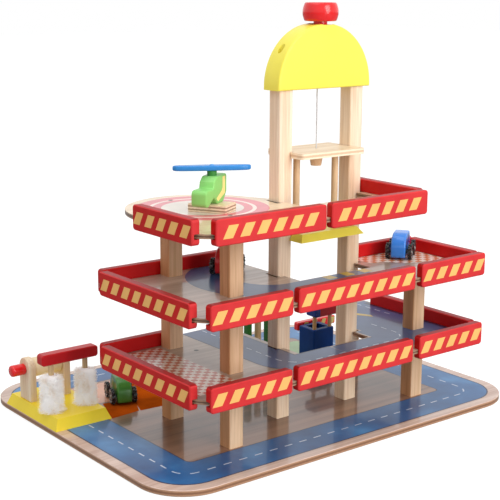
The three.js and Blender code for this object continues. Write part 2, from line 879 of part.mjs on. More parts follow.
function addCars() {
  addCar('blue', bluePaint, carBlueX, carBlueY, deckTop(2), carBlueHeading);
  addCar('green', greenPaint, carGreenX, carGreenY, baseThickness, carGreenHeading);
  addCar('red', redPaint, carRedX, carRedY, deckTop(2), carRedHeading);
}

// Helicopter body from the side, tail towards -X and cabin towards +X, standing on z = 0
function helicopterBody() {
  const shape = roundedOutline([
    [-heliTailLength, 0, heliTailRadius],
    [-heliTailFoot, 0, heliEdgeSoft],
    [-heliNotchBack, heliNotchHeight, 0],
    [-heliBellyBack, 0, heliEdgeSoft],
    [heliBellyFront, 0, heliTailRadius],
    [heliNoseLength, heliNoseRise, heliTailRadius],
    [heliNoseLength, heliRoofTop + heliRoofRise, heliRoofRadius],
    [-heliHubRadius - heliEdgeSoft, heliRoofTop, heliEdgeSoft],
    [-heliLedgeBack, heliLedgeHeight, heliEdgeSoft],
    [-heliSlopeFoot, heliTailTop, heliEdgeSoft],
    [-heliTailLength, heliTailTop, heliTailRadius],
  ]);
  const body = uprightBoard(shape, heliBodyThickness, heliBodyEdgeRadius, 3);
  const hub = bar(heliHubRadius, heliHubHeight + heliNotchHeight, 20);
  hub.translate(0, 0, heliRoofTop - heliNotchHeight);
  const pinBore = bar(heliPinRadius + seatGap, heliHubHeight + heliPinDepth + cutOverrun, 12);
  pinBore.translate(0, 0, heliRoofTop - heliPinDepth);
  return cut(join(body, hub), pinBore);
}

const heliEdgeSoft = 2;
const heliHeading = 30;
const rotorHeading = -29;

function addHelicopter() {
  const turn = THREE.MathUtils.degToRad(heliHeading);
  const floor = deckTop(3);
  const skid = board(
    roundedRectangle(heliSkidDepth, heliSkidSpan, heliEdgeSoft), heliSkidHeight, heliSkidEdgeRadius, 3,
  );
  place('helicopter_skid', skid, paleWood, heliX, heliY, floor, turn);
  place('helicopter_body', helicopterBody(), greenPaint, heliX, heliY, floor + heliSkidHeight, turn);
  const rotorShape = roundedRectangle(heliRotorLength, heliRotorWidth, heliRotorWidth / 3);
  const blade = board(rotorShape, heliRotorThickness, heliRotorEdgeRadius, 5);
  const pin = bar(heliPinRadius, heliPinDepth + heliHubHeight + heliRotorThickness / 2 - seatGap, 12);
  pin.translate(0, 0, seatGap * 2 - heliPinDepth - heliHubHeight);
  const rotorZ = floor + heliSkidHeight + heliRoofTop + heliHubHeight + seatGap;
  const rotorTurn = THREE.MathUtils.degToRad(rotorHeading);
  place('helicopter_rotor', join(blade, pin), bluePaint, heliX, heliY, rotorZ, rotorTurn);
}

function addPump() {
  const shape = roundedRectangle(pumpLength, pumpWidth, pumpCornerRadius);
  const box = board(shape, pumpHeight, pumpEdgeRadius, 2);
  const recess = block(
    pumpRecessLength, pumpRecessWidth, pumpRecessDepth + cutOverrun, 0, 0, pumpHeight - pumpRecessDepth,
  );
  place('pump_box', cut(box, recess), navyPaint, pumpX, pumpY, baseThickness);
  const postX = pumpLength / 2 - canopyPostEdge;
  const postY = canopyPostEdge - pumpWidth / 2;
  const canopyShape = roundedRectangle(canopyLength, canopyWidth, canopyCornerRadius);
  const canopy = board(canopyShape, canopyHeight, canopyEdgeRadius, 3);
  const canopyLeft = canopyEdgeRadius - pumpLength / 2;
  const canopyFront = -pumpWidth / 2 - canopyFrontOverhang;
  canopy.translate(canopyLeft + canopyLength / 2, canopyFront + canopyWidth / 2, canopyPostHeight);
  const posts = [[-postX, postY], [postX, postY]].map(([x, y]) => {
    const post = bar(canopyPostRadius, canopyPostHeight + canopyHeight / 2, 14);
    post.translate(x, y, 0);
    return post;
  });
  const canopyZ = baseThickness + pumpHeight;
  place('pump_canopy', join(canopy, ...posts), redPaint, pumpX, pumpY, canopyZ);
}

function addRail() {
  const shape = roundedRectangle(railLength, railHeight, railEdgeRadius * 2);
  const rail = uprightBoard(shape, railThickness, railEdgeRadius, 3);
  rail.translate(0, 0, railClearance + railHeight / 2);
  const legs = [-1, 1].map((side) => block(
    railLegWidth, railThickness - railEdgeRadius * 2, railClearance + railHeight / 2,
    side * (railLength / 2 - railLegInset), 0, 0,
  ));
  place('back_rail', join(rail, ...legs), redPaint, railX, railY, baseThickness);
}

function addServiceStand() {
  const floorShape = roundedRectangle(standLength, standWidth, standCornerRadius);
  const floor = board(floorShape, standFloorHeight, standEdgeRadius, 2);
  const uprights = [-1, 1].map((side) => block(
    standUprightThickness, standUprightWidth, standUprightHeight,
    side * (standLength / 2 - standUprightThickness / 2 - standEdgeRadius), 0, standEdgeRadius,
  ));
  const post = bar(standPostRadius, standPostHeight, 16);
  post.translate(0, 0, standEdgeRadius);
  place('service_stand', join(floor, ...uprights, post), greenPaint, standX, standY, baseThickness);
}

addBase();
addDecks();
addPosts();
addFences();
addArch();
addWindingKnob();
addLift();
addCarWash();
addCars();
addHelicopter();
addPump();
addRail();
addServiceStand();

export default garage;
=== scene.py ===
import math
import random

import bmesh
import bpy
from mathutils import Matrix, Vector
from mathutils.geometry import tessellate_polygon


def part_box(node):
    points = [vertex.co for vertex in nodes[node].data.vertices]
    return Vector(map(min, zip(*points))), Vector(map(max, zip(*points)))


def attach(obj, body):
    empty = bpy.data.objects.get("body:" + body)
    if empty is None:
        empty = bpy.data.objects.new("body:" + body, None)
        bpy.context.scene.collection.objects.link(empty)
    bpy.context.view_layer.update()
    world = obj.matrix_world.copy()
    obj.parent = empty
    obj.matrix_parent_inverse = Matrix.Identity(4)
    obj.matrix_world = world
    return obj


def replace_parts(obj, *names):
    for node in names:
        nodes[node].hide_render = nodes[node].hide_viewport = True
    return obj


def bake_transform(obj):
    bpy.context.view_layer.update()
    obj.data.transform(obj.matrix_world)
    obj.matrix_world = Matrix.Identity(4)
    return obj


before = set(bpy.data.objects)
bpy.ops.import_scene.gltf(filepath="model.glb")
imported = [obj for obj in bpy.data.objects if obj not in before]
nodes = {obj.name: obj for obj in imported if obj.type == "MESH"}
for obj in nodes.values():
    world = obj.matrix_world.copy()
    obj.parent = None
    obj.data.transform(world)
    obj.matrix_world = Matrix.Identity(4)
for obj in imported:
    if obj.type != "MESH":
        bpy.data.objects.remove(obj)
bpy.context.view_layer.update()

# Lengths below are millimetres from the base board's centre, as in the CAD source
MM = 0.001
TOWER_X = 29.25
TOWER_Y = -98.0

# The frame's shift in X against the CAD source, measured at the string on the tower's axis
string_low, string_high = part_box("lift_string")
SHIFT = (string_low.x + string_high.x) / 2 / MM - TOWER_X

# Heights, and how far the arch and the knob stand off the tower's axis
BASE_TOP = 8.0
DECK_TOPS = (105.75, 203.5, 301.25)
DECK = 5.5
TOWER_TOP = 444
SPINDLE_END = 464
ARCH_SHIFT = 0.7
KNOB_SHIFT = (2.2, -1.5)

# Cars, and the thickness of the board that cars and helicopter are cut from
CAR_LENGTH = 56
WHEELBASE = 31
SILL = 3
BOARD = 20

# Radius at which a turned profile meets its axis
AXIS = 0.01

# How far printed and painted fields lie off their boards
PRINT_LIFT = 0.05
LINE_LIFT = 0.1
SCREW_LIFT = 0.12
# Lift of the painted shade sheets at the post slots
SLOT_SHADE_LIFT = 0.14
PAINT_LIFT = 0.08

# Brightness of the surroundings as light, where 1 is white, and the grey of the floor
SURROUND = 0.74
FLOOR_GREY = 0.38

# The fitted camera: place in millimetres, angles in degrees, lens in millimetres
CAMERA_PLACE = (-991.8, -1258.7, 569.4)
CAMERA_ANGLES = (-38.13, 12.49, 0.25)
CAMERA_LENS = 84.97
SENSOR_WIDTH = 36
CLIP_END = 50


def at(x, y, z):
    """A point of the CAD source as a point of the frame, in metres."""
    return Vector(((x + SHIFT) * MM, y * MM, z * MM))


def make_camera():
    """A camera fitted to the photograph's edges."""
    yaw, pitch, roll = (math.radians(v) for v in CAMERA_ANGLES)
    forward = Vector((-math.sin(yaw) * math.cos(pitch), math.cos(yaw) * math.cos(pitch), -math.sin(pitch)))
    right = Vector((math.cos(yaw), math.sin(yaw), 0))
    up = right.cross(forward)
    side = right * math.cos(roll) + up * math.sin(roll)
    top = up * math.cos(roll) - right * math.sin(roll)
    camera = bpy.data.objects.new("camera", bpy.data.cameras.new("camera"))
    bpy.context.scene.collection.objects.link(camera)
    turn = Matrix((side, top, -forward)).transposed().to_4x4()
    camera.matrix_world = Matrix.Translation(at(*CAMERA_PLACE)) @ turn
    camera.data.sensor_width = SENSOR_WIDTH
    camera.data.lens = CAMERA_LENS
    camera.data.clip_end = CLIP_END
    bpy.context.scene.camera = camera


# Materials
def darker(rgb, share):
    return tuple(v * share for v in rgb)


def linear(rgb):
    """An sRGB colour of 0 to 255 as linear RGBA."""
    def one(v):
        v /= 255
        return v / 12.92 if v <= 0.04045 else ((v + 0.055) / 1.055) ** 2.4
    return tuple(one(v) for v in rgb) + (1.0,)


class Shader:
    """A principled material with short helpers for its nodes."""

    def __init__(self, name, roughness=0.4, coat=0.0, coat_roughness=0.1, specular=0.5):
        self.material = bpy.data.materials.new(name)
        self.material.use_nodes = True
        self.tree = self.material.node_tree
        self.bsdf = self.tree.nodes["Principled BSDF"]
        self.bsdf.inputs["Roughness"].default_value = roughness
        self.bsdf.inputs["Coat Weight"].default_value = coat
        self.bsdf.inputs["Coat Roughness"].default_value = coat_roughness
        self.bsdf.inputs["Specular IOR Level"].default_value = specular
        self.coordinates = self.tree.nodes.new("ShaderNodeTexCoord").outputs["Object"]

    def link(self, output, target):
        if hasattr(output, "links"):
            self.tree.links.new(output, target)
        else:
            target.default_value = output

    def noise(self, scale, detail, stretch=(1, 1, 1), offset=(0, 0, 0), distortion=0.0):
        mapping = self.tree.nodes.new("ShaderNodeMapping")
        mapping.inputs["Scale"].default_value = stretch
        mapping.inputs["Location"].default_value = offset
        self.link(self.coordinates, mapping.inputs["Vector"])
        node = self.tree.nodes.new("ShaderNodeTexNoise")
        node.inputs["Scale"].default_value = scale
        node.inputs["Detail"].default_value = detail
        node.inputs["Roughness"].default_value = 0.55
        node.inputs["Distortion"].default_value = distortion
        self.link(mapping.outputs["Vector"], node.inputs["Vector"])
        return node.outputs["Fac"]

    def ramp(self, value, stops):
        node = self.tree.nodes.new("ShaderNodeValToRGB")
        elements = node.color_ramp.elements
        while len(elements) < len(stops):
            elements.new(0.5)
        for element, (position, colour) in zip(elements, stops):
            element.position = position
            element.color = linear(colour) if len(colour) == 3 else colour
        self.link(value, node.inputs["Fac"])
        return node.outputs["Color"]

    def tones(self, value, dark, light):
        return self.ramp(value, ((0.3, dark), (0.7, light)))

    def levels(self, value, low, high):
        return self.ramp(value, ((low, (0, 0, 0, 1)), (high, (1, 1, 1, 1))))

    def math(self, operation, a, b=0.0):
        node = self.tree.nodes.new("ShaderNodeMath")
        node.operation = operation
        self.link(a, node.inputs[0])
        self.link(b, node.inputs[1])
        return node.outputs[0]

    def mix(self, factor, a, b, mode="MIX"):
        node = self.tree.nodes.new("ShaderNodeMix")
        node.data_type = "RGBA"
        node.blend_type = mode
        self.link(factor, node.inputs["Factor"])
        self.link(a, node.inputs["A"])
        self.link(b, node.inputs["B"])
        return node.outputs["Result"]

    def tint(self, mask, base, rgb):
        return self.mix(mask, base, self.mix(1.0, base, linear(rgb), "MULTIPLY"))

    def axis(self, name, source=None):
        node = self.tree.nodes.new("ShaderNodeSeparateXYZ")
        self.link(source or self.coordinates, node.inputs[0])
        return node.outputs[name]

    def normal(self, name):
        return self.axis(name, self.tree.nodes.new("ShaderNodeNewGeometry").outputs["Normal"])

    def bump(self, height, strength, depth):
        node = self.tree.nodes.new("ShaderNodeBump")
        node.inputs["Strength"].default_value = strength
        node.inputs["Distance"].default_value = depth * MM
        self.link(height, node.inputs["Height"])
        self.link(node.outputs["Normal"], self.bsdf.inputs["Normal"])

    def colour(self, value):
        self.link(value, self.bsdf.inputs["Base Color"])
        return self.material


def paint(name, rgb, roughness=0.34, coat=0.1, shade=0.92, grain=(1, 1, 1), specular=0.28):
    """Brushed gloss paint on wood: slight tone changes, faint grain in the surface."""
    s = Shader(name, roughness, coat, 0.12, specular)
    base = s.tones(s.noise(28, 3), darker(rgb, shade), rgb)
    fibre = s.noise(420, 3, grain)
    speck = s.levels(s.noise(900, 2), 0.68, 0.8)
    base = s.mix(s.math("MULTIPLY", speck, 0.12), base, linear(darker(rgb, 0.7)))
    s.bump(fibre, 0.12, 0.15)
    return s.colour(base)


GRAIN = {"X": (0.04, 1, 1), "Y": (1, 0.04, 1), "Z": (1, 1, 0.04)}


def wood_colour(s, light, dark, axis, offset=0.0, cross=90):
    """Grain along an axis; cross sets how fine it is. Returns the colour and the finer grain."""
    broad = s.noise(cross, 4, GRAIN[axis], (offset, offset * 0.7, offset * 1.3), 0.8)
    fine = s.noise(cross * 7, 3, GRAIN[axis], (offset, 0, 0))
    middle = tuple((a + b) / 2 for a, b in zip(light, dark))
    base = s.ramp(broad, ((0.34, dark), (0.5, middle), (0.66, light)))
    streak = s.ramp(fine, ((0.35, (214, 196, 178)), (0.6, (255, 255, 255))))
    return s.mix(0.4, base, streak, "MULTIPLY"), fine


def wood(name, light, dark, axis="Z", roughness=0.42, coat=0.15, offset=0.0, cross=90, left_shade_tint=None):
    s = Shader(name, roughness, coat, 0.2, 0.3)
    base, fine = wood_colour(s, light, dark, axis, offset, cross)
    if left_shade_tint:
        # Painted shade: faces that look left take a darker tint
        base = s.tint(s.math("LESS_THAN", s.normal("X"), -0.6), base, left_shade_tint)
    s.bump(fine, 0.15, 0.2)
    return s.colour(base)


def ply_edge(s, base, light, dark, low, thickness, plies):
    """Alternating plies on upright faces, by height above low."""
    height = s.math("DIVIDE", s.math("SUBTRACT", s.axis("Z"), low), thickness / plies)
    wave = s.math("SINE", s.math("MULTIPLY", height, math.pi))
    rough = s.noise(260, 3, (1, 1, 3))
    band = s.math("ADD", s.math("MULTIPLY", wave, 0.35), s.math("MULTIPLY", rough, 0.6))
    edge = s.ramp(band, ((0.15, dark), (0.5, light)))
    upright = s.math("LESS_THAN", s.math("ABSOLUTE", s.normal("Z")), 0.5)
    return s.mix(upright, base, edge)


def printed_board(name, light, dark, edge_light, edge_dark, low, thickness):
    """Varnished ply with a printed wood tone on top and bare plies on its edges."""
    s = Shader(name, 0.3, 0.5, 0.06, 0.35)
    base, fine = wood_colour(s, light, dark, "X", 0.3, 40)
    base = ply_edge(s, base, edge_light, edge_dark, low * MM, thickness * MM, 3)
    s.bump(fine, 0.04, 0.1)
    return s.colour(base)


def print_ink(name, rgb, shade=0.85, scale=14, coat=0.5, specular=0.35, speckle=0.08):
    """Printed ink under clear varnish, with a few paler dots."""
    s = Shader(name, 0.3, coat, 0.06, specular)
    base = s.tones(s.noise(scale, 4), darker(rgb, shade), rgb)
    dots = s.levels(s.noise(1400, 1), 0.55, 0.75)
    base = s.mix(s.math("MULTIPLY", dots, speckle), base, linear((255, 255, 255)))
    return s.colour(base)


def checker_ink(name, rgb_a, rgb_b, cell, corner):
    """Squares of a given cell, counted from a corner of the field."""
    s = Shader(name, 0.3, 0.45, 0.06, 0.35)
    start = at(*corner, 0)
    x = s.math("FLOOR", s.math("DIVIDE", s.math("SUBTRACT", s.axis("X"), start.x), cell * MM))
    y = s.math("FLOOR", s.math("DIVIDE", s.math("SUBTRACT", s.axis("Y"), start.y), cell * MM))
    odd = s.math("MODULO", s.math("ABSOLUTE", s.math("ADD", x, y)), 2.0)
    a = s.tones(s.noise(60, 3), darker(rgb_a, 0.85), rgb_a)
    return s.colour(s.mix(s.math("GREATER_THAN", odd, 0.5), a, linear(rgb_b)))


def two_tone(name, paint_rgb, wood_rgb, mask_of):
    """Paint where the mask is 0, and bare wood where it is 1."""
    s = Shader(name, 0.36, 0.08, 0.12, 0.28)
    painted = s.tones(s.noise(30, 3), darker(paint_rgb, 0.88), paint_rgb)
    bare, fine = wood_colour(s, wood_rgb, darker(wood_rgb, 0.8), "Z", 0.2)
    s.bump(fine, 0.1, 0.1)
    return s.colour(s.mix(mask_of(s), painted, bare))


# Mesh helpers, in the same millimetres
def rounded(x0, y0, x1, y1, r, steps=16):
    """A rectangle with rounded corners."""
    points = []
    corners = ((x1 - r, y1 - r, 0), (x0 + r, y1 - r, 90), (x0 + r, y0 + r, 180), (x1 - r, y0 + r, 270))
    for cx, cy, start in corners:
        for i in range(steps + 1):
            a = math.radians(start + 90 * i / steps)
            points.append((cx + r * math.cos(a), cy + r * math.sin(a)))
    return points


def arc(cx, cy, r, start, end, steps=24):
    angles = [math.radians(start + (end - start) * i / steps) for i in range(steps + 1)]
    return [(cx + r * math.cos(a), cy + r * math.sin(a)) for a in angles]


def circle(cx, cy, r, steps):
    return arc(cx, cy, r, 0, 360, steps)[:-1]


def new_object(name, mesh, material, body):
    mesh.materials.append(material)
    obj = bpy.data.objects.new(name, mesh)
    bpy.context.scene.collection.objects.link(obj)
    if body:
        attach(obj, body)
    return obj


def from_faces(name, verts, faces, material, body, smooth=None):
    mesh = bpy.data.meshes.new(name)
    mesh.from_pydata([tuple(v) for v in verts], [], faces)
    mesh.update()
    if smooth is not None:
        soften(mesh, smooth)
    return new_object(name, mesh, material, body)


def soften(mesh, degrees):
    mesh.polygons.foreach_set("use_smooth", [True] * len(mesh.polygons))
    mesh.set_sharp_from_angle(angle=math.radians(degrees))
    mesh.update()


def fill(outlines, lift):
    """Vertices and triangles of a flat shape at height lift, its first outline outside, the rest holes."""
    verts = [at(x, y, lift) for outline in outlines for x, y in outline]
    loops = [[at(x, y, lift) for x, y in outline] for outline in outlines]
    faces = [list(tri) for tri in tessellate_polygon(loops)]
    for face in faces:
        a, b, c = (verts[i] for i in face)
        if (b - a).cross(c - a).z < 0:
            face.reverse()
    return verts, faces


def sheet(name, fields, material):
    """A thin sheet of flat shapes, each at its own height, riding on the garage."""
    verts = []
    faces = []
    for outlines, lift in fields:
        v, f = fill(outlines, lift)
        faces += [[i + len(verts) for i in face] for face in f]
        verts += v
    from_faces(name, verts, faces, material, "garage")


def decal(name, shapes, lift, material):
    sheet(name, [(outlines, lift) for outlines in shapes], material)


def quads(verts):
    """One face for every four vertices."""
    return [tuple(range(i, i + 4)) for i in range(0, len(verts), 4)]


def prism(name, outline, depth, bevel, segments, material, body, smooth=35):
    """A soft-edged board with its outline in X-Z, centred on Y, at the origin. Returned with its body."""
    bm = bmesh.new()
    face = bm.faces.new([bm.verts.new((x * MM, -depth / 2 * MM, z * MM)) for x, z in outline])
    extruded = bmesh.ops.extrude_face_region(bm, geom=[face])
    moved = [v for v in extruded["geom"] if isinstance(v, bmesh.types.BMVert)]
    bmesh.ops.translate(bm, verts=moved, vec=(0, depth * MM, 0))
    bmesh.ops.recalc_face_normals(bm, faces=bm.faces[:])
    caps = [f for f in bm.faces if abs(f.normal.y) > 0.9 and len(f.verts) > 4]
    edges = {e for f in caps for e in f.edges}
    if bevel:
        bmesh.ops.bevel(
            bm, geom=list(edges), offset=bevel * MM, segments=segments, profile=0.5, affect="EDGES",
            clamp_overlap=True,
        )
    mesh = bpy.data.meshes.new(name)
    bm.to_mesh(mesh)
    bm.free()
    soften(mesh, smooth)
    return new_object(name, mesh, material, None), body


def pose_at(x, y, z, heading=0.0):
    return Matrix.Translation(at(x, y, z)) @ Matrix.Rotation(math.radians(heading), 4, "Z")


def placed(pair, x, y, z, heading=0.0):
    """Moves a piece made at the origin to its place and sets it on its body."""
    obj, body = pair
    obj.data.transform(pose_at(x, y, z, heading))
    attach(obj, body)
    return obj


def lathe(profile, steps=64):
    """Vertices and faces of a turned body about Z; profile points are (radius, height)."""
    verts = []
    faces = []
    for r, z in profile:
        for i in range(steps):
            a = 2 * math.pi * i / steps
            verts.append((r * math.cos(a) * MM, r * math.sin(a) * MM, z * MM))
    for row in range(len(profile) - 1):
        for i in range(steps):
            a = row * steps + i
            b = row * steps + (i + 1) % steps
            faces.append((a, b, b + steps, a + steps))
    return verts, faces


def turned(name, profile, material, body, steps=64, smooth=40):
    """A turned piece at the origin, returned with its body."""
    verts, faces = lathe(profile, steps)
    faces.append(tuple(reversed(range(steps))))
    faces.append(tuple(range((len(profile) - 1) * steps, len(profile) * steps)))
    mesh = bpy.data.meshes.new(name)
    mesh.from_pydata(verts, [], faces)
    bm = bmesh.new()
    bm.from_mesh(mesh)
    bmesh.ops.recalc_face_normals(bm, faces=bm.faces[:])
    bm.to_mesh(mesh)
    bm.free()
    soften(mesh, smooth)
    return new_object(name, mesh, material, None), body


make_camera()

# The photographed finishes
red = paint("red_gloss", (238, 30, 34), 0.2, 0.5)
stripe_yellow = paint("stripe_yellow", (248, 191, 110), 0.4, 0.05, 0.95)
yellow = paint("yellow_gloss", (255, 240, 92), 0.36, 0.1, 0.97)
wash_yellow = paint("wash_yellow", (250, 222, 50), 0.4, 0.1, 0.96)
cream = paint("roller_cream", (255, 234, 194), 0.45, 0.05, 0.94)
heli_green = paint("helicopter_green", (142, 214, 116), 0.4, 0.08, 0.94)
hub_green = paint("hub_green", (60, 140, 60), 0.4, 0.1)
rotor_blue = paint("rotor_blue", (50, 138, 214), 0.32, 0.2, 0.92, (1, 0.1, 1))
car_blue = paint("car_blue", (60, 136, 232), 0.22, 0.4, 0.92)
car_green = paint("car_green", (70, 138, 56), 0.28, 0.35, 0.88)
car_red = paint("car_red", (190, 20, 26), 0.28, 0.35, 0.9)
window_olive = paint("window_olive", (150, 150, 60), 0.3, 0.2)
window_navy = paint("window_navy", (54, 44, 120), 0.3, 0.2)
navy = paint("pump_navy", (8, 54, 124), 0.4, 0.02, 0.85, specular=0.15)
# Painted shade: the tint for post faces that look left
post_left_shade = (242, 216, 194)
post_wood = wood("post_beech", (240, 208, 174), (214, 174, 134), "Z", 0.45, 0.03, 0.1, 55, post_left_shade)
post_wood_b = wood("post_beech_b", (234, 200, 166), (206, 166, 126), "Z", 0.45, 0.03, 0.7, 48, post_left_shade)
tower_wood = wood("tower_beech", (255, 236, 212), (240, 208, 174), "Z", 0.42, 0.06, 0.3, 50)
upright_wood = wood("upright_pine", (252, 234, 206), (236, 208, 172), "Z", 0.5, 0.0, 0.4, 80)
dowel_wood = wood("dowel_birch", (250, 224, 190), (222, 184, 142), "Z", 0.5, 0.0, 0.9, 120)
screw_steel = paint("screw_dark", (58, 46, 40), 0.35, 0.2)


def string_material():
    s = Shader("string_cord", 0.8, 0.0)
    twist = s.noise(900, 2, (1, 1, 2.5))
    s.bump(twist, 0.5, 0.2)
    return s.colour(s.ramp(twist, ((0.35, (170, 170, 172)), (0.65, (225, 225, 225)))))


def fence_material(name, dark, light):
    """Satin red, with painted shade: darker on top faces and on faces that look left."""
    s = Shader(name, 0.42, 0.03, 0.12, 0.2)
    base = s.tones(s.noise(28, 3), dark, light)
    # Painted shade: top faces darker
    base = s.tint(s.math("GREATER_THAN", s.normal("Z"), 0.75), base, (196, 150, 154))
    # Painted shade: faces that look left darker
    base = s.tint(s.math("LESS_THAN", s.normal("X"), -0.75), base, (238, 110, 100))
    s.bump(s.noise(420, 3), 0.12, 0.15)
    return s.colour(base)


def tyre_material():
    s = Shader("tyre_black", 0.24, 0.35, 0.15)
    grit = s.noise(700, 3)
    s.bump(grit, 0.2, 0.2)
    return s.colour(s.tones(grit, (14, 14, 16), (32, 32, 36)))


def bristle_material():
    s = Shader("bristle_white", 0.6, 0.0)
    s.bsdf.inputs["Sheen Weight"].default_value = 0.25
    s.bsdf.inputs["Subsurface Weight"].default_value = 0.15
    s.bsdf.inputs["Subsurface Radius"].default_value = (3 * MM, 3 * MM, 3 * MM)
    # Painted light: a weak white glow in the fibres, which are no lamp
    s.bsdf.inputs["Emission Color"].default_value = (1.0, 0.96, 0.92, 1)
    s.bsdf.inputs["Emission Strength"].default_value = 0.07
    clump = s.noise(110, 3, (1, 1, 0.6), (0.2, 0, 0), 0.4)
    tones = ((0.3, (232, 220, 202)), (0.46, (248, 244, 240)), (0.62, (255, 255, 255)))
    return s.colour(s.ramp(clump, tones))


string_grey = string_material()
fence_red = fence_material("fence_red", (202, 46, 48), (218, 54, 56))
# Painted shade: a darker copy of the fence red for the rear fences below the top deck
fence_red_back_shaded = fence_material("fence_red_back_shaded", (194, 20, 22), (212, 28, 30))
tyre_black = tyre_material()
bristle_white = bristle_material()


def canopy_material(dowel_top):
    """Red paint with a blue end, and bare dowels below a height."""
    s = Shader("canopy_paint", 0.36, 0.08, 0.12, 0.28)
    tone = s.noise(30, 3)
    painted = s.tones(tone, (150, 10, 20), (176, 16, 26))
    end = s.math("LESS_THAN", s.axis("X"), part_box("pump_canopy")[0].x + 9 * MM)
    painted = s.mix(end, painted, s.tones(tone, (16, 40, 110), (24, 56, 140)))
    bare, _ = wood_colour(s, (226, 190, 140), (190, 150, 104), "Z", 0.2)
    return s.colour(s.mix(below(s, dowel_top), painted, bare))


def skid_material():
    low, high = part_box("helicopter_skid")
    s = Shader("skid_ply", 0.42, 0.15, 0.2)
    light, dark = (255, 236, 206), (236, 202, 162)
    base, fine = wood_colour(s, light, dark, "X", 0.5, 60)
    base = ply_edge(s, base, light, darker(dark, 0.72), low.z, high.z - low.z, 5)
    s.bump(fine, 0.1, 0.1)
    return s.colour(base)


def cabin_material(roof_low, roof_thickness):
    """Ply for the roof of the cabin, and dowel wood for all below it."""
    s = Shader("cabin_ply", 0.42, 0.15, 0.2)
    upper, _ = wood_colour(s, (248, 228, 196), (232, 204, 164), "X", 0.5, 60)
    plies = (252, 234, 206), (222, 192, 158)
    upper = ply_edge(s, upper, *plies, roof_low * MM, roof_thickness * MM, 3)
    lower, _ = wood_colour(s, (244, 218, 178), (218, 182, 138), "Z", 0.1, 120)
    return s.colour(s.mix(below(s, roof_low - 0.1), upper, lower))


def below(s, height):
    return s.math("LESS_THAN", s.axis("Z"), height * MM)


def stand_post(s):
    """A mask that is 1 on the bare round post in the middle of the stand."""
    low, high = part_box("service_stand")
    middle = (low + high) / 2
    dx = s.math("SUBTRACT", s.axis("X"), middle.x)
    dy = s.math("SUBTRACT", s.axis("Y"), middle.y)
    reach = s.math("SQRT", s.math("ADD", s.math("POWER", dx, 2.0), s.math("POWER", dy, 2.0)))
    return s.math("LESS_THAN", reach, 5.3 * MM)


def finish_nodes():
    """Materials for the CAD pieces that stay visible, whether drawn here again or not."""
    def assign(material, *names):
        for name in names:
            soften(nodes[name].data, 32)
            nodes[name].material_slots[0].material = material
            nodes[name].hide_render = False

    base_tones = (222, 196, 182), (196, 164, 148), (182, 138, 106), (140, 100, 74)
    assign(printed_board("base_print", *base_tones, 0, BASE_TOP), "base_board")
    deck_tones = (
        ((190, 170, 154), (154, 130, 112)),
        ((206, 186, 172), (170, 148, 134)),
        ((246, 226, 196), (232, 206, 170)),
    )
    deck_edges = (168, 134, 108), (104, 74, 56)
    for level, (top, tones) in enumerate(zip(DECK_TOPS, deck_tones), 1):
        board = printed_board(f"deck_{level}_print", *tones, *deck_edges, top - DECK, DECK)
        assign(board, f"deck_{level}")
    for name in nodes:
        if name.startswith("fence_"):
            # Rear fences below the top deck take the red with painted shade
            assign(fence_red_back_shaded if "_back" in name and "_3_" not in name else fence_red, name)
        elif name.startswith("tower_post"):
            assign(tower_wood, name)
        elif name.startswith("post_"):
            assign(post_wood_b if name.endswith(("back_1", "front_2", "left_back_3")) else post_wood, name)
    assign(yellow, "tower_arch", "lift_floor")
    assign(wash_yellow, "wash_base")
    assign(upright_wood, "wash_upright_left", "wash_upright_right")
    assign(red, "winding_knob", "wash_roller")
    assign(navy, "pump_box")

    wash_dowel_top = 88
    beam = two_tone("wash_beam_red", (196, 16, 24), (236, 206, 156), lambda s: below(s, wash_dowel_top))
    assign(beam, "wash_beam")
    pump_dowel_top = 77.9
    assign(canopy_material(pump_dowel_top), "pump_canopy")
    assign(two_tone("stand_green_wood", (40, 112, 34), (222, 190, 140), stand_post), "service_stand")
    assign(red, "back_rail")
    assign(skid_material(), "helicopter_skid")
    roof_low, roof_thickness = 357.3, 7.8
    assign(cabin_material(roof_low, roof_thickness), "lift_frame")


def fence_stripes():
    """Painted parallelograms on the outer face of every fence bar, leaning to the viewer's right."""
    counts = {122: 5, 197: 8, 164: 6}
    pitch = 24.1
    first_of_six = 20.5
    corners = ((-11.2, -7.6), (2.8, -7.6), (11.2, 7.6), (-2.8, 7.6))
    verts = []
    for name in sorted(n for n in nodes if n.startswith("fence_")):
        low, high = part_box(name)
        size = high - low
        length = max(size.x, size.y) / MM
        count = counts[min(counts, key=lambda v: abs(v - length))]
        side = name.split("_", 2)[2]
        if side.startswith("front"):
            origin, along, out = Vector((low.x, low.y, 0)), Vector((1, 0, 0)), Vector((0, -1, 0))
        elif side.startswith("back"):
            origin, along, out = Vector((high.x, high.y, 0)), Vector((-1, 0, 0)), Vector((0, 1, 0))
        elif side == "left":
            origin, along, out = Vector((low.x, high.y, 0)), Vector((0, -1, 0)), Vector((-1, 0, 0))
        else:
            origin, along, out = Vector((high.x, low.y, 0)), Vector((0, 1, 0)), Vector((1, 0, 0))
        first = first_of_six if count == 6 else (length - pitch * (count - 1)) / 2
        middle = (low.z + high.z) / 2
        for i in range(count):
            centre = first + pitch * i
            for u, v in corners:
                height = Vector((0, 0, middle + v * MM))
                verts.append(origin + along * (centre + u) * MM + out * PAINT_LIFT * MM + height)
    from_faces("fence_stripes", verts, quads(verts), stripe_yellow, "garage")


def ring(outer, inner):
    """A shape with a hole in it."""
    return [outer, list(reversed(inner))]


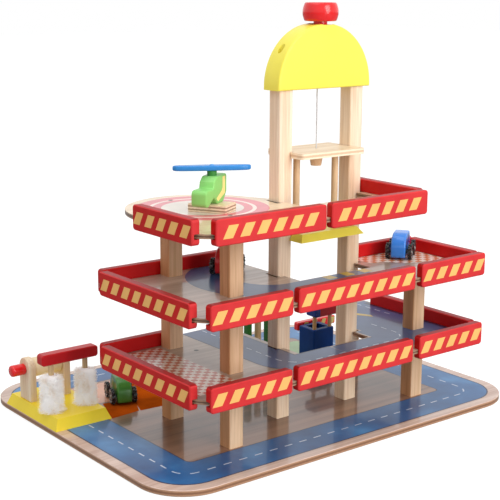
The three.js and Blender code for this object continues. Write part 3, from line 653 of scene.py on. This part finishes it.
def dash_shapes(path, dash, gap, width):
    """Dashes along an open path of points."""
    shapes = []
    lengths = [math.dist(a, b) for a, b in zip(path, path[1:])]
    total = sum(lengths)

    def point(distance):
        for (ax, ay), (bx, by), length in zip(path, path[1:], lengths):
            if distance <= length:
                t = distance / length
                return ax + (bx - ax) * t, ay + (by - ay) * t, (bx - ax) / length, (by - ay) / length
            distance -= length
        return None

    start = gap / 2
    while start + dash < total:
        sides = [[], []]
        for i in range(4):
            x, y, dx, dy = point(start + dash * i / 3)
            sides[0].append((x - dy * width / 2, y + dx * width / 2))
            sides[1].append((x + dy * width / 2, y - dx * width / 2))
        shapes.append([sides[0] + list(reversed(sides[1]))])
        start += dash + gap
    return shapes


def band(path, width):
    """The outline of a road of constant width along a path."""
    left = []
    right = []
    for i, (x, y) in enumerate(path):
        ax, ay = path[max(i - 1, 0)]
        bx, by = path[min(i + 1, len(path) - 1)]
        length = math.dist((ax, ay), (bx, by))
        dx, dy = (bx - ax) / length, (by - ay) / length
        left.append((x - dy * width / 2, y + dx * width / 2))
        right.append((x + dy * width / 2, y - dx * width / 2))
    return left + list(reversed(right))


def road_ink():
    s = Shader("road_blue", 0.3, 0.24, 0.06, 0.3)
    tone = s.noise(9, 4)
    base = s.ramp(tone, ((0.3, (20, 66, 118)), (0.52, (34, 98, 156)), (0.72, (70, 140, 196))))
    return s.colour(base)


def deck_road_ink():
    s = Shader("deck_road", 0.3, 0.34, 0.06, 0.3)
    return s.colour(s.tones(s.noise(8, 4), (38, 64, 110), (70, 98, 144)))


road_blue = road_ink()
deck_road = deck_road_ink()
navy_line = print_ink("road_outline", (22, 38, 78), coat=0.35)
white = print_ink("road_dash", (196, 208, 226), 0.95)
hatch = print_ink("hatch_yellow", (222, 184, 44), coat=0.3)


def print_base():
    """The base board: a road round a wood floor, parking fields and a lawn."""
    floor_wood = Shader("floor_planks", 0.3, 0.6, 0.05, 0.35)
    floor_wood.colour(wood_colour(floor_wood, (152, 112, 88), (92, 62, 46), "X", 0.2, 22)[0])
    orange = print_ink("parking_orange", (196, 84, 12), 0.74, 20, coat=0.0, specular=0.0, speckle=0.01)
    salmon = print_ink("parking_salmon", (222, 158, 126), coat=0.4)
    green = print_ink("lawn_green", (146, 182, 124), coat=0.35)
    fields = BASE_TOP + PRINT_LIFT
    marks = BASE_TOP + LINE_LIFT
    outer = rounded(-285, -220, 285, 222, 52)
    outer_line = rounded(-283, -218, 283, 220, 50)
    inner = rounded(-221, -159, 216, 167, 8)
    inner_line = rounded(-222.5, -160.5, 217.5, 168.5, 9)
    decal("print_floor", [[inner]], fields, floor_wood.material)
    decal("print_road", [ring(outer, inner)], fields, road_blue)
    decal("print_road_lines", [ring(outer, outer_line), ring(inner_line, inner)], marks, navy_line)
    middle = rounded(-253, -189.5, 250.5, 194.5, 24)
    decal("print_road_dashes", dash_shapes(middle + middle[:1], 12, 12, 2.1), marks, white)
    near_bays = [
        [[(-216, 26), (-171, 30), (-152, 68), (-196, 84)]],
        [[(-169, 29), (-120, 25), (-84, 88), (-72, 160), (-120, 160), (-152, 74)]],
    ]
    far_bay = [(-216, 92), (-194, 88), (-152, 76), (-124, 160), (-216, 164)]
    decal("print_parking", near_bays, marks, orange)
    decal("print_parking_far", [[far_bay]], marks, salmon)
    decal("print_lawn", [[rounded(110, 24, 212, 150, 8)]], marks, green)


def print_deck_1():
    """Checker at the left, and a road from the landing round the shaft."""
    fields = DECK_TOPS[0] + PRINT_LIFT
    marks = DECK_TOPS[0] + LINE_LIFT
    check = checker_ink("checker_red", (194, 92, 60), (216, 200, 186), 7.6, (-238, -196))
    decal("print_checker_1", [[[(-238, -196), (-164, -196), (-164, -10), (-238, -10)]]], fields, check)
    left_lane = [(-72, 24), (-72, -141)] + arc(-40, -141, 32, 180, 270)[1:] + [(19, -173)]
    left_edges = band(left_lane, 62)
    bay = [(20, -204), (200, -204)] + arc(204, -203, 14, 270, 360, 8) + [(218, 1), (170, 1)]
    bay += [(95, -76), (105, -82), (105, -113), (95, -113), (95, -145), (20, -145)]
    decal("print_road_1", [[left_edges], [bay]], fields, deck_road)
    half = len(left_edges) // 2
    side = [(213, -8), (213, -196)]
    lines = [[band(left_edges[:half], 2)], [band(left_edges[half:], 2)], [band(side, 10)]]
    lines.append([band([(24, -145), (95, -145)], 2)])
    decal("print_road_1_lines", lines, marks, navy_line)
    lane = left_lane + [(70, -173), (108, -173)] + arc(108, -143, 30, 270, 360, 12)[1:] + [(139, -92)]
    dashes = dash_shapes(lane, 11, 9, 1.8) + dash_shapes([(197, -80), (197, -4)], 11, 9, 1.8)
    decal("print_road_1_dashes", dashes, marks, white)
    decal("print_marks_1", [[[(150, -44), (168, -72), (171, -62), (160, -40)]]], marks, hatch)


def print_deck_2():
    """A round road, yellow hatching and a checker at the right."""
    fields = DECK_TOPS[1] + PRINT_LIFT
    marks = DECK_TOPS[1] + LINE_LIFT
    back_edge = -4
    path = arc(-52, -98, 76, 100, 270, 40) + [(72, -174)]
    road = [(x, min(y, back_edge)) for x, y in band(path, 62)]
    decal("print_road_2", [[road]], fields, deck_road)
    squares = [[[(x, -159), (x + 15, -159), (x + 15, -142.5), (x, -142.5)]] for x in (2, 33, 64)]
    decal("print_hatch", squares, marks, hatch)
    check = checker_ink("checker_orange", (230, 130, 74), (252, 238, 228), 8.6, (104, -152))
    field = [(108, -124), (128, -130), (150, -155), (212, -171), (212, -89.5), (108, -89.5)]
    decal("print_checker_2", [[field]], fields, check)


def print_deck_3():
    """Rings of the helicopter pad."""
    fields = DECK_TOPS[2] + PRINT_LIFT
    pink = print_ink("helipad_red", (232, 104, 118), 0.92, 30)
    pale = print_ink("helipad_pale", (250, 226, 214), 0.96, 30)
    disc = print_ink("helipad_disc", (238, 226, 214), 0.96, 30)
    outer, line, inner, middle = (circle(-140, -77, r, 96) for r in (84, 68, 63, 52))
    decal("print_helipad_red", [ring(outer, line), ring(inner, middle)], fields, pink)
    decal("print_helipad_pale", [ring(line, inner)], fields, pale)
    decal("print_helipad_disc", [[middle]], fields, disc)


def slot_shade_sheets():
    """Painted shade: dark sheets on the decks beside the left tower post, for the shadow in the gap of the
    slot it passes through.
    """
    low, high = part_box("tower_post_left")
    x = low.x / MM - SHIFT
    front = low.y / MM
    back = high.y / MM - 3
    shape = [(x - 4, front), (x + 2, front - 2.4), (x + 2, back), (x - 2.4, back)]
    for level, top in enumerate(DECK_TOPS, 1):
        # Painted shade: a near-black sheet for the shadow in each slot
        shade_sheet = print_ink(f"slot_shade_{level}", (40, 24, 18), coat=0.0, specular=0.03, speckle=0.01)
        decal(f"post_slot_shade_{level}", [[shape]], top + SLOT_SHADE_LIFT, shade_sheet)


def deck_screws():
    """Heads of the screws seen on the decks."""
    screws = ((-143, -10, DECK_TOPS[2]), (-143.5, -138.5, DECK_TOPS[2]), (-131, -49, DECK_TOPS[0]))
    head = 3.2
    fields = [([circle(x, y, head, 20)], top + SCREW_LIFT) for x, y, top in screws]
    sheet("deck_screws", fields, screw_steel)


def arch():
    radius = 78.2
    foot = 4.1
    depth = 32
    edge = 2.4
    outline = [(-radius, 0), (radius, 0)] + arc(0, foot, radius, 0, 180, 120)
    piece = prism("arch_head", outline, depth, edge, 4, yellow, "garage", 30)
    middle = TOWER_X + ARCH_SHIFT
    obj = placed(piece, middle, TOWER_Y, TOWER_TOP)
    cutters = []

    def drill(x, y, size, low, high):
        steps = 40
        verts, faces = lathe([(size, low), (size, high)], steps)
        faces += [tuple(reversed(range(steps))), tuple(range(steps, 2 * steps))]
        mesh = bpy.data.meshes.new("drill")
        mesh.from_pydata(verts, [], faces)
        mesh.transform(Matrix.Translation(at(x, y, 0)))
        cutter = bpy.data.objects.new("drill", mesh)
        bpy.context.scene.collection.objects.link(cutter)
        cutters.append(cutter)

    # Radius and depth of each hole
    screw_hole, screw_depth = 4.5, 14
    spot, spot_depth = 16, 1.5
    bore, floor = 9.5, 12
    string_hole = 2
    clear = 15
    for x in (-31.5, 90):
        surface = TOWER_TOP + foot + math.sqrt(radius ** 2 - (x - middle) ** 2)
        drill(x, TOWER_Y, screw_hole, surface - screw_depth, surface + 2 * clear)
    top = TOWER_TOP + foot + radius
    spindle = (TOWER_X + KNOB_SHIFT[0], TOWER_Y + KNOB_SHIFT[1])
    drill(*spindle, spot, top - spot_depth, top + clear)
    drill(*spindle, bore, TOWER_TOP + floor, top + clear)
    drill(TOWER_X, TOWER_Y, string_hole, TOWER_TOP - 4, TOWER_TOP + 16)
    for cutter in cutters:
        modifier = obj.modifiers.new("drill", "BOOLEAN")
        modifier.operation = "DIFFERENCE"
        modifier.object = cutter
        modifier.solver = "EXACT"
    depsgraph = bpy.context.evaluated_depsgraph_get()
    mesh = bpy.data.meshes.new_from_object(obj.evaluated_get(depsgraph))
    obj.modifiers.clear()
    obj.data = mesh
    soften(mesh, 30)
    for cutter in cutters:
        bpy.data.objects.remove(cutter)
    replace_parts(obj, "tower_arch")


def knob():
    """A waisted spindle under a round head with bulging sides and a dished top."""
    profile = [(AXIS, SPINDLE_END), (9, SPINDLE_END), (9, 469), (6, 472), (6, 492), (9, 495), (9, 529.1)]
    side, low, height, bulge = 21.3, 531.2, 18.8, 2
    profile += [(19, 529.1), (20.4, 529.6), (side, low)]
    for i in range(1, 12):
        t = i / 12
        profile.append((side + bulge * math.sin(math.pi * t), low + height * t))
    dish, floor, depth = 16.6, 549.7, 2.4
    profile += [(20.9, 551.1), (19.9, 552.4), (18.6, 552.7), (dish, floor + depth)]
    for i in range(1, 8):
        r = dish * (1 - i / 8)
        profile.append((r, floor + depth * (r / dish) ** 2))
    profile.append((AXIS, floor))
    piece = turned("winding_knob_turned", profile, red, "knob", 72, 50)
    obj = placed(piece, TOWER_X + KNOB_SHIFT[0], TOWER_Y + KNOB_SHIFT[1], 0)
    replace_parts(obj, "winding_knob")


def string():
    """A three-strand cord from the cabin's roof to the spindle, and the plug it hangs from."""
    low = 361.5
    high = SPINDLE_END - 0.3
    radius, strand = 0.8, 0.16
    steps = 60
    sides = 12
    verts = []
    faces = []
    for j in range(steps + 1):
        z = low + (high - low) * j / steps
        for i in range(sides):
            a = 2 * math.pi * i / sides + j * 0.35
            r = radius * (1 + strand * math.cos(3 * a - j * 0.9))
            verts.append(at(TOWER_X + r * math.cos(a), TOWER_Y + r * math.sin(a), z))
    for j in range(steps):
        for i in range(sides):
            a = j * sides + i
            b = j * sides + (i + 1) % sides
            faces.append((a, b, b + sides, a + sides))
    obj = from_faces("lift_string_cord", verts, faces, string_grey, None, 60)
    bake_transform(obj)
    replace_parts(obj, "lift_string")
    plug = [(AXIS, 342.4), (6.4, 342.4), (7, 343), (9.5, 357.4), (9.5, 361)]
    placed(turned("cabin_plug", plug, dowel_wood, "lift", 48), TOWER_X, TOWER_Y, 0)


def brush(name, x, radius, body, node, seed):
    """Soft white strands round a dowel, longer and looser towards the rim."""
    random_strand = random.Random(seed)
    verts = []
    faces = []
    y = 65
    low, high = 23.4, 73
    margin = 1.5
    root = 5.8
    strands, stray_every = 5200, 22
    shortest, longest = 0.78, 0.97
    shares = (0, 0.4, 0.75, 1.0)
    for strand in range(strands):
        a = random_strand.uniform(0, 2 * math.pi)
        z = random_strand.uniform(low + margin, high - margin)
        stray = strand % stray_every == 0
        if stray:
            z = low + 0.6 + 5 * random_strand.random() ** 2
        tuft = math.sin(a * 5 + z * 0.21) * 0.5 + math.sin(a * 3 - z * 0.34 + seed) * 0.5
        reach = radius * (random_strand.uniform(shortest, longest) + 0.035 * tuft)
        droop = random_strand.uniform(-7.5, 2.5) * random_strand.random()
        if stray:
            reach = radius * random_strand.uniform(0.95, 1.12)
        twist = random_strand.uniform(-0.5, 0.5)
        width = random_strand.uniform(0.2, 0.4)
        first = len(verts)
        for step, share in enumerate(shares):
            r = root + (reach - root) * share
            angle = a + twist * share * share
            height = min(max(z + droop * share * share, low), high)
            w = width * (1 - share * 0.75)
            tangent = Vector((-math.sin(angle), math.cos(angle), 0))
            centre = Vector((math.cos(angle) * r, math.sin(angle) * r, height))
            for k in range(3):
                t = 2 * math.pi * k / 3
                p = centre + tangent * math.cos(t) * w + Vector((0, 0, math.sin(t) * w))
                verts.append(at(x + p.x, y + p.y, p.z))
            if step:
                for k in range(3):
                    a0 = first + (step - 1) * 3 + k
                    b0 = first + (step - 1) * 3 + (k + 1) % 3
                    faces.append((a0, b0, b0 + 3, a0 + 3))
        faces.append((first + 11, first + 10, first + 9))
    obj = from_faces(name, verts, faces, bristle_white, body)
    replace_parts(obj, node)
    hole, neck, end, waist = 4, 5.4, radius * 0.5, radius * 0.56
    core = [(hole, low), (neck, low), (end, low + 3), (waist, (low + high) / 2)]
    core += [(end, high - 3), (neck, high), (hole, high), (hole, low)]
    verts, faces = lathe(core, 40)
    placed_verts = [at(x, y, 0) + Vector(v) for v in verts]
    from_faces(name + "_core", placed_verts, faces, bristle_white, body, 40)


def roller():
    """Drum, crank and axle; the profiles run along X."""
    y, z = 125, 67
    r = 13
    drum = [(AXIS, -281.3), (r - 1.2, -281.3), (r, -280.2), (r, -241.8), (r - 1.2, -240.7), (AXIS, -240.7)]
    crank = [(AXIS, -312.3), (6.2, -312.3), (7.4, -311.4), (7.8, -309.8)]
    crank += [(7.8, -294.4), (7.2, -292.9), (6.4, -292.3), (AXIS, -292.3)]
    axle = [(AXIS, -292.6), (3, -292.6), (3, -230.3), (AXIS, -230.3)]
    turn = Matrix.Translation(at(0, y, z)) @ Matrix.Rotation(math.pi / 2, 4, "Y")
    for name, profile, material, slot in (
        ("roller_drum", drum, cream, None), ("roller_crank", crank, red, "red_paint"),
        ("roller_axle", axle, dowel_wood, "pale_wood"),
    ):
        obj, _ = turned(name, profile, material, "roller", 56)
        obj.data.transform(turn)
        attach(obj, "roller")
        if name == "roller_drum":
            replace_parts(obj, "wash_roller")


def car_outline():
    """Side view, nose towards +X, from the sill up."""
    half = CAR_LENGTH / 2
    points = arc(-half + 4, 4, 4, 180, 270, 8) + arc(half - 4, 4, 4, 270, 360, 8)
    points += arc(half - 8, 8.5, 8, 0, 52, 10) + arc(half / 2 - 4.5, 26.3, 6.7, 52, 90, 8)
    points += arc(-half + 20, 13, 20, 90, 180, 20)
    return points


def wheel(name):
    """One lugged toy wheel about local Y, outer side towards -Y."""
    bm = bmesh.new()
    lug_edge = 0.3
    profile = [(2.1, -2.0), (3.6, -2.4), (4.2, -1.5), (6.6, -1.5), (7.2, -2.5), (8.8, -2.6), (9.5, -1.9)]
    profile += [(9.5, 1.9), (8.8, 2.6), (2.1, 2.6)]
    steps = 48
    rings = []
    for r, y in profile:
        angles = [2 * math.pi * i / steps for i in range(steps)]
        rings.append([bm.verts.new((r * math.cos(a) * MM, y * MM, r * math.sin(a) * MM)) for a in angles])
    for a, b in zip(rings, rings[1:]):
        for i in range(steps):
            bm.faces.new((a[i], a[(i + 1) % steps], b[(i + 1) % steps], b[i]))
    bm.faces.new(rings[0])
    bm.faces.new(list(reversed(rings[-1])))
    # Radius, row, offset, count and size of the tread lugs, and of six lugs on the outer side
    blocks = [(9.85, row, offset, 13, (2.2, 2.5, 2.2)) for row, offset in ((-1.45, 0.0), (1.4, 0.5))]
    blocks += [(5.4, -1.7, 0.25, 6, (2.6, 1.0, 1.4))]
    for r, row, offset, count, size in blocks:
        for i in range(count):
            a = 2 * math.pi * (i + offset) / count
            matrix = Matrix.Rotation(-a, 4, "Y") @ Matrix.Translation((r * MM, row * MM, 0))
            shape = Matrix.Diagonal((size[0] * MM, size[1] * MM, size[2] * MM, 1))
            made = bmesh.ops.create_cube(bm, size=1, matrix=matrix @ shape)
            lug = {e for v in made["verts"] for e in v.link_edges}
            bmesh.ops.bevel(bm, geom=list(lug), offset=lug_edge * MM, segments=1, affect="EDGES")
    bmesh.ops.recalc_face_normals(bm, faces=bm.faces[:])
    mesh = bpy.data.meshes.new(name)
    bm.to_mesh(mesh)
    bm.free()
    soften(mesh, 35)
    return mesh


def side_patch(name, outline, material, matrix, body):
    """A painted shape on both sides of the board a toy is cut from."""
    verts = []
    faces = []
    for side in (-1, 1):
        loop = [Vector((x * MM, side * (BOARD / 2 + PAINT_LIFT) * MM, z * MM)) for x, z in outline]
        for tri in tessellate_polygon([loop]):
            a, b, c = (loop[i] for i in tri)
            order = tri if (b - a).cross(c - a).y * side > 0 else tuple(reversed(tri))
            faces.append([i + len(verts) for i in order])
        verts += loop
    mesh = bpy.data.meshes.new(name)
    mesh.from_pydata(verts, [], faces)
    mesh.transform(matrix)
    return new_object(name, mesh, material, body)


def wheel_pair(name, track):
    """Two wheels and their axle about local Y."""
    axle = 2 * MM
    bm = bmesh.new()
    for side in (-1, 1):
        mesh = wheel("wheel")
        if side > 0:
            mesh.transform(Matrix.Rotation(math.pi, 4, "Z"))
        mesh.transform(Matrix.Translation((0, side * track * MM, 0)))
        bm.from_mesh(mesh)
        bpy.data.meshes.remove(mesh)
    bmesh.ops.create_cone(
        bm, cap_ends=True, segments=20, radius1=axle, radius2=axle, depth=30.4 * MM,
        matrix=Matrix.Rotation(math.pi / 2, 4, "X"),
    )
    mesh = bpy.data.meshes.new(name)
    bm.to_mesh(mesh)
    bm.free()
    soften(mesh, 35)
    return mesh


def car(colour, material, window, x, y, floor, heading):
    body = f"car_{colour}"
    track, stud_at, axle_height = 15.35, 17.2, 8
    stud_profile = [(AXIS, 0), (1.9, 0), (1.9, 0.4), (1.2, 0.8), (AXIS, 0.9)]
    sill = floor + SILL
    shell = placed(prism(f"{body}_shell", car_outline(), BOARD, 2, 4, material, body), x, y, sill, heading)
    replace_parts(shell, f"{body}_body")
    matrix = pose_at(x, y, sill, heading)
    rear = arc(-8, 17, 10.5, 100, 176, 10) + [(-18, 16.5), (-4, 16.5)]
    front = [(-1, 16.5), (13, 16.5)] + arc(7, 22, 6, 30, 88, 8) + [(-1, 28)]
    side_patch(f"{body}_window_rear", rear, window, matrix, body)
    side_patch(f"{body}_window_front", front, window, matrix, body)
    hub_material = paint(f"{body}_hub", (196, 196, 190), 0.35, 0.3)
    for end, along in (("rear", -WHEELBASE / 2), ("front", WHEELBASE / 2)):
        wheels_body = f"{body}_{end}_wheels"
        mesh = wheel_pair(f"{body}_{end}_pair", track)
        place_wheels = matrix @ Matrix.Translation((along * MM, 0, axle_height * MM))
        mesh.transform(place_wheels)
        pair = new_object(f"{body}_{end}_wheel_pair", mesh, tyre_black, wheels_body)
        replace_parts(pair, f"car_{colour}_wheels_{end}")
        for side, word in ((-1, "right"), (1, "left")):
            stud, _ = turned(f"{body}_{end}_stud_{word}", stud_profile, hub_material, wheels_body, 24)
            turn = Matrix.Rotation(-side * math.pi / 2, 4, "X")
            stud.data.transform(place_wheels @ Matrix.Translation((0, side * stud_at * MM, 0)) @ turn)
            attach(stud, wheels_body)


def helicopter():
    x, y, z = -143, -101, DECK_TOPS[2] + 10
    heading, rotor_heading = 30, -29
    outline = arc(-35, 5, 5, 180, 270, 8) + [(-32, 0), (-15.6, 9), (-5, 0)]
    outline += arc(10, 6, 6, 270, 320, 6) + arc(18, 14, 5, 325, 360, 6)
    outline += arc(19, 30.8, 4, 0, 90, 6) + arc(-7.2, 32, 2, 90, 134, 4)
    outline += arc(-13.6, 26.9, 2, 134, 160, 3) + [(-17.2, 21.4), (-18.4, 20.5)]
    outline += arc(-34.5, 15, 5.5, 90, 180, 8)
    body = prism("helicopter_shell", outline, BOARD, 1.6, 3, heli_green, "helicopter", 32)
    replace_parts(placed(body, x, y, z, heading), "helicopter_body")
    outer = [(17.5, 32), (17.5, 14)] + arc(15, 12.5, 2.6, 350, 300, 4) + [(-4, 3)]
    inner = [(-9, 7.4), (7, 15), (9.5, 18.5), (9.5, 32)]
    yellow_band = paint("band_yellow", (255, 238, 150), 0.45, 0.0, specular=0.15)
    side_patch("helicopter_band", outer + inner, yellow_band, pose_at(x, y, z, heading), "helicopter")
    hub_top, gap = 40, 0.4
    hub = [(AXIS, 30), (6, 30), (6, hub_top), (AXIS, hub_top)]
    placed(turned("helicopter_hub", hub, hub_green, "helicopter", 40), x, y, z)
    half, half_width, thickness = 48.5, 5.6, 6.5
    steps = 40

    def edge(u, side):
        return u * half, side * half_width * (1 - abs(u) ** 9) ** 0.5 * (1.3 - 0.3 * u * u)

    blade = [edge(-1 + 2 * i / steps, -1) for i in range(steps + 1)]
    blade += [edge(1 - 2 * i / steps, 1) for i in range(1, steps)]
    piece, _ = prism("rotor_blade", blade, thickness, 1.8, 4, rotor_blue, "rotor", 40)
    lay = Matrix.Rotation(math.pi / 2, 4, "X")
    spot = pose_at(x, y, z + hub_top + gap + thickness / 2, rotor_heading)
    piece.data.transform(spot @ lay)
    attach(piece, "rotor")
    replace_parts(piece, "helicopter_rotor")
    screw = [(AXIS, 0), (3.4, 0), (3.4, 0.5), (2.2, 1.2), (AXIS, 1.4)]
    screw_blue = paint("rotor_screw_blue", (96, 164, 226), 0.25, 0.5)
    obj, _ = turned("rotor_screw", screw, screw_blue, "rotor", 28)
    obj.data.transform(spot @ Matrix.Translation((0, 0, (thickness / 2 - 0.1) * MM)))
    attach(obj, "rotor")


def rail_patches():
    """Yellow parallelograms on both faces of the rear rail."""
    low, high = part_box("back_rail")
    corners = ((-2, -11.5), (6, -11.5), (10, -1.5), (2, -1.5))
    first, pitch, count = 12, 18.5, 4
    verts = []
    patch = paint("rail_yellow", (214, 192, 110), 0.4, 0.2)
    for i in range(count):
        x = low.x + (first + pitch * i) * MM
        for y, flip in ((low.y - PAINT_LIFT * MM, False), (high.y + PAINT_LIFT * MM, True)):
            points = [Vector((x + u * MM, y, high.z + v * MM)) for u, v in corners]
            if flip:
                points.reverse()
            verts += points
    from_faces("rail_patches", verts, quads(verts), patch, "garage")


def studio_floor():
    """A grey floor that looks white to the camera and keeps the object's shadow."""
    s = Shader("floor_white", 0.9, 0.0, 0.1, 0.1)
    s.colour((FLOOR_GREY, FLOOR_GREY, FLOOR_GREY, 1))
    seen = s.tree.nodes.new("ShaderNodeLightPath").outputs["Is Camera Ray"]
    s.bsdf.inputs["Emission Color"].default_value = (1, 1, 1, 1)
    s.link(s.math("MULTIPLY", seen, SURROUND), s.bsdf.inputs["Emission Strength"])
    size = 12
    gap = 0.3
    corners = [(-size, -size, 0), (size, -size, 0), (size, size, 0), (-size, size, 0)]
    floor = from_faces("floor", corners, [(0, 1, 2, 3)], s.material, None)
    floor.location.z = -gap * MM


def studio_light():
    """White surroundings for the camera and for reflections, a little lower as light."""
    world = bpy.data.worlds.new("studio")
    world.use_nodes = True
    tree = world.node_tree
    background = tree.nodes["Background"]
    path = tree.nodes.new("ShaderNodeLightPath")
    seen = tree.nodes.new("ShaderNodeMath")
    seen.operation = "MAXIMUM"
    tree.links.new(path.outputs["Is Camera Ray"], seen.inputs[0])
    tree.links.new(path.outputs["Is Glossy Ray"], seen.inputs[1])
    mix = tree.nodes.new("ShaderNodeMix")
    mix.inputs["A"].default_value = SURROUND
    mix.inputs["B"].default_value = 1.0
    tree.links.new(seen.outputs[0], mix.inputs["Factor"])
    tree.links.new(mix.outputs["Result"], background.inputs["Strength"])
    background.inputs["Color"].default_value = (1, 1, 1, 1)
    bpy.context.scene.world = world

    def area(name, place, target, size, energy):
        light = bpy.data.lights.new(name, "AREA")
        light.size = size
        light.energy = energy
        obj = bpy.data.objects.new(name, light)
        bpy.context.scene.collection.objects.link(obj)
        obj.location = place
        obj.rotation_euler = (Vector(target) - Vector(place)).to_track_quat("-Z", "Y").to_euler()

    # Name, place and target in metres, side length in metres, watts
    area("key", (0.35, -2.6, 1.55), (0, 0, 0.2), 1.5, 41)
    area("low", (0.3, -2.7, 0.42), (0, 0, 0.24), 1.0, 14)
    area("top", (-0.7, 0.1, 2.6), (0, 0, 0.2), 2.0, 19)


finish_nodes()
fence_stripes()
print_base()
print_deck_1()
print_deck_2()
print_deck_3()
slot_shade_sheets()
deck_screws()
arch()
knob()
string()
brush("brush_left_strands", -284, 18.2, "brush_left", "wash_brush_left", 3)
brush("brush_right_strands", -233, 17.2, "brush_right", "wash_brush_right", 5)
roller()
car("blue", car_blue, window_navy, 171, -119.2, DECK_TOPS[1], 36.5)
car("green", car_green, window_olive, -166.1, 84.5, BASE_TOP, 71)
car("red", car_red, window_navy, -78.9, -47.5, DECK_TOPS[1], 38)
helicopter()
rail_patches()
studio_floor()
studio_light()

scene = bpy.context.scene
scene.view_settings.view_transform = "Standard"
